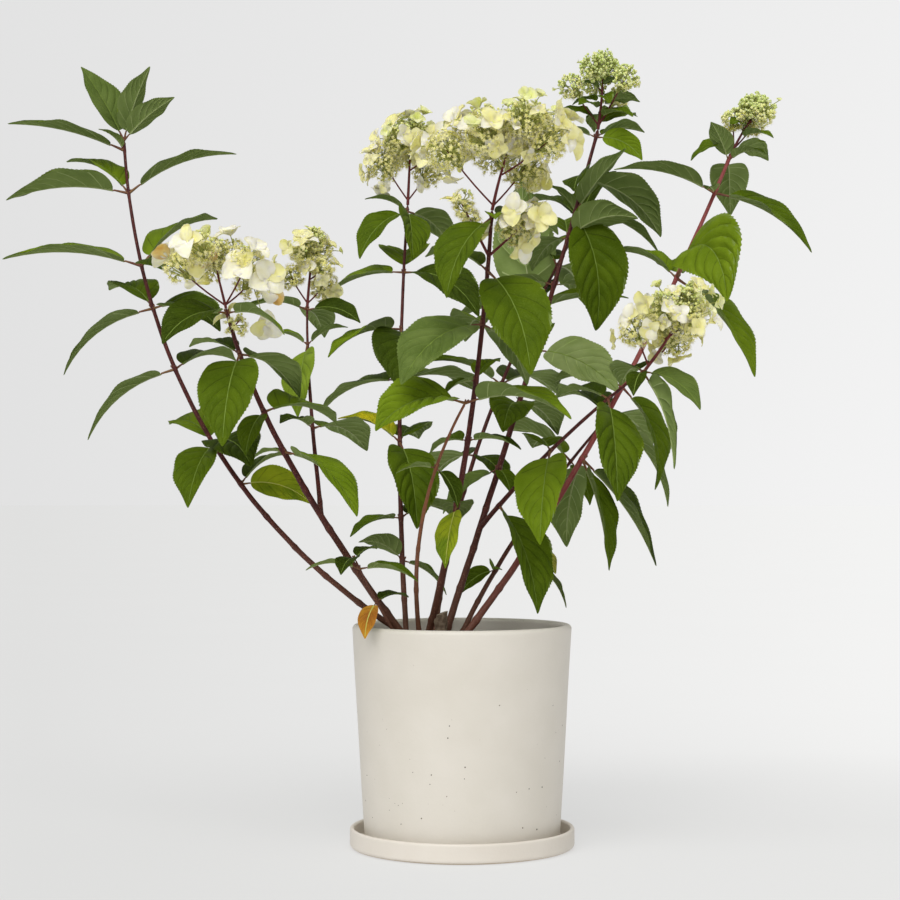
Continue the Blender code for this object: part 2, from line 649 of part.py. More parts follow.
def make_limb(stem, collection):
    """The bare limb: from the soil, or from its parent's side, to a flat cut under its first leaves."""
    end = first_whorl(stem)
    count = max(3, round(STEM_POINTS * end))
    shares = np.append(np.linspace(0, end - CUT_STRETCH, count - 1), end)
    points = stem_at(stem, shares)
    radii = stem_radius(stem, shares)
    if not stem.fork:
        points[0] -= unit(points[1] - points[0]) * STEM_SUNK
    limb = tube("stem_" + stem.name, points, radii, collection)
    if stem.fork:
        clear_of_parent(limb, stem, collection)
    else:
        cut_level(limb)
    dress(limb, material("bark_" + stem.name, COLOURS["stem"], 0.6))
    return limb


def cut_level(limb):
    """Cuts the foot of a limb level, just clear of the soil, and closes the cut."""
    edit = bmesh.new()
    edit.from_mesh(limb.data)
    geometry = list(edit.verts) + list(edit.edges) + list(edit.faces)
    level = (0.0, 0.0, SOIL_TOP + GAP)
    cut = bmesh.ops.bisect_plane(edit, geom=geometry, plane_co=level, plane_no=(0, 0, 1),
                                 clear_inner=True)
    rim = [item for item in cut["geom_cut"] if isinstance(item, bmesh.types.BMEdge)]
    bmesh.ops.edgeloop_fill(edit, edges=rim)
    bmesh.ops.recalc_face_normals(edit, faces=edit.faces)
    edit.to_mesh(limb.data)
    edit.free()


def make_stub(collection):
    """The stump of an earlier stem: short, thick and cut off, from the soil up past the pot's rim."""
    foot = np.array([*STUB_FOOT, SOIL_TOP])
    rise = np.array([*STUB_LEAN, STUB_HEIGHT])
    shares = np.linspace(-STEM_SUNK / STUB_HEIGHT, 1, len(STUB_RADII))
    stub = tube("stem_stub", foot + np.outer(shares, rise), STUB_RADII, collection)
    cut_level(stub)
    dress(stub, material("bark_stub", COLOURS["stem"], 0.7))


def clear_of_parent(limb, stem, collection):
    """Cuts a forked limb back to its parent's bark, with the gap between them."""
    parent = stem_named(stem.fork[0])
    shares = np.linspace(max(stem.fork[1] - 0.2, 0), stem.fork[1] + 0.2, 9)
    radii = stem_radius(parent, shares) + FORK_CLEAR
    cutter = tube("fork_cutter", stem_at(parent, shares), radii, collection, 3)
    cut = limb.modifiers.new("seat", "BOOLEAN")
    cut.operation = "DIFFERENCE"
    cut.object = cutter
    apply_modifiers(limb)
    bpy.data.objects.remove(cutter)


def make_leaves(stem, leaves, sprigs, collection):
    """The leafy mass: the upper stem, its leaves and any side sprig of flowers, fused in one."""
    start = first_whorl(stem)
    ends = stem_at(stem, [start, start + 0.01])
    rise = GAP / np.linalg.norm(ends[1] - ends[0]) * 0.01
    count = max(4, round(STEM_POINTS * (1 - start)))
    shares = np.append(start + rise, np.linspace(start + rise + CUT_STRETCH, 1.0, count - 1))
    core = tube("core_" + stem.name, stem_at(stem, shares), stem_radius(stem, shares), collection, 1)
    pieces = [leaf_solid(f"leaf_{k}", leaf, collection) for k, leaf in enumerate(leaves)]
    for panicle, foot, branches, florets in sprigs:
        along = unit(np.array(panicle.axis))
        pieces += panicle_pieces(panicle, foot, along, branches, florets, collection)
    return join_pieces("leaves_" + stem.name, core, pieces,
                       material("foliage_" + stem.name, COLOURS["leaf"], 0.5))


def panicle_pieces(panicle, foot, along, branches, florets, collection):
    """The loose solids of a flower head: its axis, which starts along its stem, and what it carries."""
    axis = np.array(panicle.axis)
    points = np.vstack([foot, foot + along * HEAD_STRETCH, foot + np.outer([0.5, 0.96], axis)])
    pieces = [tube("axis", points, HEAD_AXIS_RADII, collection, 1)]
    for k, branch in enumerate(branches):
        pieces.append(twig(f"branch_{k}", branch.start, branch.end, BRANCH_RADII, collection))
        pieces.append(lump(f"lump_{k}", branch.end, branch.lump, k * GOLDEN_TURN, collection))
    for k, floret in enumerate(florets):
        pieces += floret_solid(f"floret_{k}", floret, collection)
    return pieces


def make_head(stem, foot, branches, florets, collection):
    """A flower head on top of its stem, clear of the stem's end by the gap."""
    ends = stem_at(stem, [0.99, 1.0])
    along = unit(ends[1] - ends[0])
    axis, *pieces = panicle_pieces(stem.head, foot, along, branches, florets, collection)
    colour = COLOURS["cream"] if stem.head.showy else COLOURS["bud"]
    return join_pieces("flowers_" + stem.name, axis, pieces,
                       material("blossom_" + stem.name, colour, 0.7))


def main():
    """Builds the pot, its saucer and soil, then every stem with its leaves and flowers."""
    for item in list(bpy.data.objects):
        bpy.data.objects.remove(item)
    plant = bpy.data.collections.new("potted_hydrangea")
    bpy.context.scene.collection.children.link(plant)
    make_saucer(plant)
    make_pot(plant)
    make_soil(plant)
    make_stub(plant)
    heads, sprigs = grow_heads()
    leaves = grow_leaves(heads, sprigs)
    for stem in STEMS:
        make_limb(stem, plant)
        make_leaves(stem, leaves[stem.name], sprigs.get(stem.name, ()), plant)
        if stem.head:
            make_head(stem, *heads[stem.name], plant)


main()
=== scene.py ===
"""The looks of a potted panicle hydrangea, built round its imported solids.

The same twelve stems, leaves and flower heads grow here by the same rule as in the part's source, in finer
detail: stems with nodes and ridges, toothed and veined blades, small flowers, buds and showy florets. The
pot, its saucer and the soil are turned finely. Metres, +Z up, and the plant's front faces -Y.
"""
from __future__ import annotations

import logging
from collections.abc import Sequence
from dataclasses import dataclass, field, replace
from enum import Enum
from math import atan, cos, pi, radians, sin, sqrt

import bpy
import numpy as np
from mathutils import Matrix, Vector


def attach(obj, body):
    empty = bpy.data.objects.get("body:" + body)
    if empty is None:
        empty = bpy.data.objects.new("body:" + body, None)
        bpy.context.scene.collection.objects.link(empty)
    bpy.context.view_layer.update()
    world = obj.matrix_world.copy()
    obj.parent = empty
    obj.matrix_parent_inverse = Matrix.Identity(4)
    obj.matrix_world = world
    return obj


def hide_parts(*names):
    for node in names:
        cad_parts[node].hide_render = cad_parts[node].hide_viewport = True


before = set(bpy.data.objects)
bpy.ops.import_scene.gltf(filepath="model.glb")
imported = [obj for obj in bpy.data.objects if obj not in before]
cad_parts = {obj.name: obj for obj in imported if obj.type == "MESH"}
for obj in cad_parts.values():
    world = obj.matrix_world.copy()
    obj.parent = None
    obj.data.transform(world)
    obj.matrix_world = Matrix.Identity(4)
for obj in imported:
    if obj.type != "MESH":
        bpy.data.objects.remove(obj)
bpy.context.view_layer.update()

Array = np.ndarray
Rng = np.random.Generator
Socket = bpy.types.NodeSocket
Colour = tuple[float, float, float]
log = logging.getLogger("hydrangea")

# Sizes shared with the part's source
GAP = 0.0003
POT_TOP = 0.265
RIM_RADIUS = 0.131
FOOT_RADIUS = 0.1165
WALL = 0.010
POT_FLOOR = 0.012
DRAIN_RADIUS = 0.009
SOIL_TOP = 0.235
SAUCER_RADIUS = 0.134
SAUCER_HEIGHT = 0.024
SAUCER_WALL = 0.0055
SAUCER_FLOOR = 0.006
LEAF_LENGTH = 0.127
LEAF_HALF_WIDTH = 0.28
LEAF_FOLD = 0.38
PETIOLE = 0.15
ARCH = 52
LEAF_NOISE = (5, 4)
STEM_TAPER = 0.52
FLORET = 0.0165
ARM_START = 0.06
HEAD_MIDDLE = 0.62
STUB_FOOT = (-0.027, -0.016)
STUB_LEAN = (0.004, -0.004)
STUB_HEIGHT = 0.044
SEED = 7
LEAF_CLEAR = 0.007
LIMB_CLEAR = 0.008
ROOM_AT_ROOT = 0.020
POT_CLEAR = 0.008
TRIES = ((0, 0), (0, 10), (0, -10), (10, 0), (-10, 0), (10, 10), (-10, 10), (10, -10), (-10, -10),
         (20, 0), (-20, 0), (0, 20), (0, -20), (20, 20), (-20, 20), (20, -20), (-20, -20))
GOLDEN_TURN = radians(137.5)

# The usual spread of what chance adds in a flower head
CHANCE = 0.12
# A triangle smaller than this is empty
SMALLEST_AREA = 1e-12
SPECK_SEED, CRUMB_SEED = SEED + 11, SEED + 12
# Points round the axis of the pot and of the saucer
TURN_STEPS = 192


# Finishes

def linear(colour: Colour) -> Colour:
    """A screen colour of 0 to 255 as linear light: each channel over 255, raised by the screen's curve."""
    share = np.asarray(colour, float) / 255
    return tuple(np.where(share <= 0.04045, share / 12.92, ((share + 0.055) / 1.055) ** 2.4).tolist())


class Nodes:
    """The nodes of one material or of the sky, added and linked a few at a time."""

    def __init__(self, owner: bpy.types.Material | bpy.types.World, coordinates: str = "Object") -> None:
        """Takes up the owner's nodes, with the coordinates that its colours run along."""
        owner.use_nodes = True
        self.tree = owner.node_tree
        self.place = self.add("TexCoord").outputs[coordinates]

    def feed(self, node: bpy.types.Node | str, inputs: dict) -> bpy.types.Node:
        """Sets a node's inputs by name or number, or links them where the value is a socket.

        Args:
            node: the node, or the name of one that the tree has.
            inputs: values or sockets by the input's name or number.

        Returns:
            The node.
        """
        node = self.tree.nodes[node] if isinstance(node, str) else node
        for name, value in inputs.items():
            if isinstance(value, Socket):
                self.tree.links.new(value, node.inputs[name])
            else:
                node.inputs[name].default_value = value
        return node

    def add(self, kind: str, inputs: dict | None = None, **settings: object) -> bpy.types.Node:
        """Adds a node.

        Args:
            kind: the node's type after ShaderNode.
            inputs: its inputs by name or number.
            settings: its own settings.

        Returns:
            The node.
        """
        node = self.tree.nodes.new("ShaderNode" + kind)
        for name, value in settings.items():
            setattr(node, name, value)
        return self.feed(node, inputs or {})

    def noise(self, size: float, detail: float = 3.0, stretch: Colour = (1, 1, 1)) -> Socket:
        """Cloudy noise with patches of this size, stretched along the axes."""
        scaled = self.add("Mapping", {"Vector": self.place, "Scale": [1 / s for s in stretch]}).outputs[0]
        return self.add("TexNoise", {"Vector": scaled, "Scale": 1 / size, "Detail": detail}).outputs[0]

    def cells(self, size: float, feature: str = "F1") -> bpy.types.Node:
        """Cells of this size, for specks and for the net of a leaf."""
        return self.add("TexVoronoi", {"Vector": self.place, "Scale": 1 / size}, feature=feature)

    def parts(self, vector: Socket) -> Sequence[Socket]:
        """The three parts of a vector or a colour."""
        return self.add("SeparateXYZ", {"Vector": vector}).outputs

    def math(self, operation: str, *values: Socket | float) -> Socket:
        """The outcome of one operation on its values."""
        return self.add("Math", dict(enumerate(values)), operation=operation).outputs[0]

    def fade(self, value: Socket, start: float, end: float, low: float = 0.0, high: float = 1.0) -> Socket:
        """Takes a value's run from start to end over to one from low to high, and holds it beyond."""
        return self.add("MapRange", {"Value": value, "From Min": start, "From Max": end,
                                     "To Min": low, "To Max": high}).outputs[0]

    def ramp(self, factor: Socket, *stops: tuple[float, Colour]) -> Socket:
        """Two screen colours along a factor, each at its stop."""
        node = self.add("ValToRGB", {"Fac": factor})
        for mark, (where, colour) in zip(node.color_ramp.elements, stops):
            mark.position, mark.color = where, (*linear(colour), 1.0)
        return node.outputs[0]

    def mix(self, factor: Socket, low: Socket | Colour, high: Socket | Colour) -> Socket:
        """Blends two colours, each a socket or a screen colour. A factor of 0 gives the low one."""
        low, high = (end if isinstance(end, Socket) else (*linear(end), 1.0) for end in (low, high))
        return self.add("Mix", {0: factor, 6: low, 7: high}, data_type="RGBA").outputs[2]


@dataclass(frozen=True)
class Finish:
    """A skin that drifts between two screen colours in soft patches, with a fine grain."""

    name: str
    colour: Colour
    drift: Colour
    patch: float = 0.02
    grain: float = 0.001
    depth: float = 0.0002
    roughness: float = 0.5
    specular: float = 0.4
    glow: float = 0.0
    glow_depth: float = 0.002

    def base(self, nodes: Nodes) -> Socket:
        """The colour: noise of the patch's size runs from the colour to its drift."""
        return nodes.ramp(nodes.noise(self.patch), (0.35, self.colour), (0.65, self.drift))

    def height(self, nodes: Nodes) -> Socket:
        """The relief: noise of the grain's size."""
        return nodes.noise(self.grain)

    def material(self) -> bpy.types.Material:
        """The material of this finish, made the first time it is asked for."""
        if self.name not in bpy.data.materials:
            nodes = Nodes(bpy.data.materials.new(self.name))
            relief = nodes.add("Bump", {"Height": self.height(nodes), "Distance": self.depth})
            nodes.feed("Principled BSDF", {
                "Base Color": self.base(nodes), "Roughness": self.roughness, "Normal": relief.outputs[0],
                "Specular IOR Level": self.specular, "Subsurface Weight": self.glow,
                "Subsurface Scale": self.glow_depth, "Subsurface Radius": (1.0, 1.0, 0.45)})
        return bpy.data.materials[self.name]


@dataclass(frozen=True)
class LeafFinish(Finish):
    """A leaf's skin: soft patches, and a net of the finest veins as its relief."""

    net: Colour = (150, 168, 78)
    patch: float = 0.03
    grain: float = 0.0016
    depth: float = 0.00014
    specular: float = 0.03
    glow: float = 0.08
    glow_depth: float = 0.0008

    def base(self, nodes: Nodes) -> Socket:
        """The colour: soft patches, with the net of the finest veins a little lighter than the cells."""
        patches = super().base(nodes)
        return nodes.mix(nodes.fade(self.height(nodes), 0.0, 0.12, 0.16, 0.0), patches, self.net)

    def height(self, nodes: Nodes) -> Socket:
        """The relief: distance to the edges of small cells, so that the net lies low."""
        return nodes.cells(self.grain, "DISTANCE_TO_EDGE").outputs["Distance"]


@dataclass(frozen=True)
class BarkFinish(Finish):
    """Bark: grey-brown old wood at the foot, its own colour above, with pale pores and long streaks."""

    old: Colour = (104, 70, 52)
    pore: Colour = (150, 112, 88)
    old_to: float = 0.42
    patch: float = 0.004
    grain: float = 0.0012
    depth: float = 0.0004
    roughness: float = 0.55

    def base(self, nodes: Nodes) -> Socket:
        """The colour: streaks of noise, blended to old wood by height, with pores in scattered cells."""
        streaks = nodes.ramp(nodes.noise(self.patch, 4.0, (1, 1, 5)), (0.35, self.colour), (0.7, self.drift))
        old = nodes.fade(nodes.parts(nodes.place)[2], SOIL_TOP + 0.02, self.old_to, 0.85, 0.0)
        pores = nodes.fade(nodes.cells(0.0026).outputs["Distance"], 0.12, 0.24, 0.75, 0.0)
        return nodes.mix(pores, nodes.mix(old, streaks, self.old), self.pore)


@dataclass(frozen=True)
class GlazeFinish(Finish):
    """Matte cream glaze: soft clouds of tone, faint small specks, and a skin that is not quite even."""

    speck: Colour = (126, 112, 96)
    patch: float = 0.05
    grain: float = 0.004
    depth: float = 0.00015
    roughness: float = 0.48

    def base(self, nodes: Nodes) -> Socket:
        """The colour: clouds of noise with a speck in the middle of some cells."""
        clouds = nodes.ramp(nodes.noise(self.patch, 5.0), (0.3, self.colour), (0.7, self.drift))
        cells = nodes.cells(0.011).outputs
        near = nodes.fade(cells["Distance"], 0.020, 0.045, 1.0, 0.0)
        chosen = nodes.math("GREATER_THAN", nodes.parts(cells["Color"])[0], 0.72)
        return nodes.mix(nodes.math("MULTIPLY", near, chosen), clouds, self.speck)


@dataclass(frozen=True)
class PetalFinish(Finish):
    """A sepal's skin: fine-grained, matte and lit through."""

    patch: float = 0.014
    grain: float = 0.0012
    depth: float = 0.0001
    roughness: float = 0.6
    specular: float = 0.15
    glow: float = 0.5


class Palette(Enum):
    """Finishes to choose from, numbered in their order."""

    @property
    def number(self) -> int:
        """Its number among the finishes."""
        return list(type(self)).index(self)

    @classmethod
    def finishes(cls) -> tuple[Finish, ...]:
        """All the finishes in their order."""
        return tuple(member.value for member in cls)


class Tint(Palette):
    """The finishes that the upper side of a leaf may have."""

    DEEP = LeafFinish("leaf_deep", (39, 54, 1), (52, 69, 4))
    GREEN = LeafFinish("leaf_green", (65, 85, 4), (80, 100, 9))
    BRIGHT = LeafFinish("leaf_bright", (91, 113, 11), (108, 130, 22))
    # A dark grey-green leaf whose colour also holds a painted bluish sheen of reflected light.
    SAGE = LeafFinish("leaf_sage", (82, 100, 44), (100, 117, 58), roughness=0.6)
    PALE = LeafFinish("leaf_pale", (122, 138, 80), (138, 152, 96), roughness=0.6)
    FRESH = LeafFinish("leaf_fresh", (108, 130, 30), (128, 150, 46))
    LIME = LeafFinish("leaf_lime", (150, 162, 30), (104, 126, 22))
    YELLOW = LeafFinish("leaf_yellow", (206, 190, 28), (140, 152, 30))
    SPENT = LeafFinish("leaf_spent", (204, 148, 44), (160, 96, 36))

    def furrow(self) -> Finish:
        """Its sunken veins' finish: its own colour darkened by painted shade, but lighter on the palest
        leaves.
        """
        own = self.value
        # Painted shade darkens the sunken veins of most tints; the palest leaves have pale veins instead.
        share = 1.14 if self in (Tint.SAGE, Tint.PALE) else 0.76
        colour, drift = (tuple(share * part for part in tone) for tone in (own.colour, own.drift))
        return replace(own, name=own.name + "_furrow", colour=colour, drift=drift)


YELLOWING = (Tint.LIME, Tint.YELLOW, Tint.SPENT)


class Vein(Palette):
    """The finishes that come after the tints in a leaf's palette. Each yellow one follows its green one."""

    RIB = Finish("leaf_vein", (112, 132, 58), (124, 144, 66), specular=0.05)
    YELLOW_RIB = Finish("leaf_vein_yellow", (182, 188, 92), (198, 198, 106), specular=0.05)
    UNDERSIDE = LeafFinish("leaf_underside", (108, 126, 66), (124, 141, 80), roughness=0.65,
                           net=(150, 166, 106))
    YELLOW_UNDERSIDE = LeafFinish("leaf_underside_yellow", (182, 180, 76), (154, 164, 70), roughness=0.65,
                                  net=(196, 196, 120))
    BELOW = Finish("leaf_under_vein", (150, 165, 104), (160, 174, 114), roughness=0.55, specular=0.05)


LEAF_PALETTE = (*Tint.finishes(), *Vein.finishes(), *(tint.furrow() for tint in Tint))
STALK_PALETTE = (
    Finish("petiole_red", (104, 56, 44), (122, 88, 52), patch=0.010, roughness=0.45, specular=0.3),
    Finish("rib_pale", (146, 158, 100), (156, 168, 112), patch=0.01))


class Skin(Palette):
    """The finishes of wood."""

    BARK = BarkFinish("bark_maroon", (64, 22, 24), (94, 40, 34), specular=0.25)
    YOUNG = BarkFinish("bark_rose", (134, 56, 58), (150, 80, 76), depth=0.0003, roughness=0.5, specular=0.25)
    TAN = BarkFinish("bark_tan", (140, 84, 50), (116, 68, 46))
    CUT = Finish("cut_wood", (156, 140, 118), (126, 108, 90), 0.003, 0.0008, 0.0004, 0.85)
    BUD = Finish("winter_bud", (96, 56, 44), (120, 78, 52), patch=0.002, roughness=0.45)
    OLD = Finish("old_wood", (136, 120, 100), (98, 82, 68), 0.005, 0.0012, 0.0008, 0.9, 0.2)


class Bloom(Palette):
    """The finishes of a flower head."""

    GREEN_STALK = Finish("flower_stalk_green", (180, 182, 104), (138, 148, 70), patch=0.006, specular=0.1)
    RED_STALK = Finish("flower_stalk_red", (96, 38, 44), (116, 56, 52), patch=0.006, specular=0.2)
    STAR = Finish("small_flower", (249, 242, 170), (228, 222, 126), patch=0.012, specular=0.1, glow=0.35)
    STAMEN = Finish("stamen", (254, 248, 214), (246, 240, 192), patch=0.006, specular=0.1, glow=0.35)
    CREAM_BUD = Finish("cream_bud", (240, 238, 176), (222, 226, 140), patch=0.010, specular=0.1, glow=0.3)
    GREEN_BUD = Finish("green_bud", (178, 195, 96), (234, 239, 178), patch=0.003, specular=0.1, glow=0.25)
    CREAM = PetalFinish("sepal_cream", (250, 243, 182), (241, 233, 150))
    IVORY = PetalFinish("sepal_ivory", (252, 248, 224), (246, 240, 202))
    YOUNG = PetalFinish("sepal_young", (226, 232, 140), (240, 240, 180), patch=0.010, glow=0.45)
    SPENT = PetalFinish("sepal_spent", (246, 228, 168), (222, 176, 104), patch=0.018, roughness=0.65,
                        glow=0.4)


POT_GLAZE = GlazeFinish("pot_cream", (220, 214, 203), (215, 209, 197))
SAUCER_GLAZE = GlazeFinish("saucer_cream", (222, 215, 204), (217, 209, 197))
BARE_CLAY = Finish("bare_clay", (196, 178, 152), (180, 160, 134), patch=0.01, grain=0.0008, roughness=0.8)
SPECK = Finish("iron_speck", (74, 66, 60), (110, 94, 78), patch=0.003, roughness=0.6)


class Earth(Palette):
    """The finishes of the soil's crumbs, peat first."""

    PEAT = Finish("damp_peat", (46, 34, 26), (66, 50, 38), 0.006, 0.002, 0.001, 0.95, 0.2)
    CHIP = Finish("bark_chip", (98, 70, 48), (72, 52, 38), 0.004, 0.001, 0.0004, 0.9, 0.2)
    PALE = Finish("pale_crumb", (196, 190, 178), (170, 162, 148), patch=0.003, roughness=0.9)


# The plant

@dataclass(frozen=True)
class Leaf:
    """One leaf of a whorl: where it points, how far its tip rises, its size, curve, roll and colour."""

    turn: float
    pitch: float
    size: float
    arch: float = ARCH
    roll: float = 0.0
    tint: Tint | None = None


@dataclass(frozen=True)
class Panicle:
    """A flower head: the axis from its foot to its top, the reach of its branches and what it carries.

    Its arms are the lowest branches, which spring from its foot, a higher dome keeps it broad higher up, and
    its bloom is the size of its showy florets as a share of a common one's.
    """

    axis: Colour
    reach: float
    branches: int
    showy: int
    lump: float
    bare: float = 0.25
    arms: int = 2
    dome: float = 2.2
    bloom: float = 1.0


@dataclass(frozen=True)
class Stem:
    """A stem on a curve of three points, with its whorls of leaves and its flower head."""

    name: str
    foot: tuple
    elbow: Colour
    tip: Colour
    radius: float
    whorls: tuple
    fork: tuple = ()
    head: Panicle | None = None
    sprigs: tuple = ()


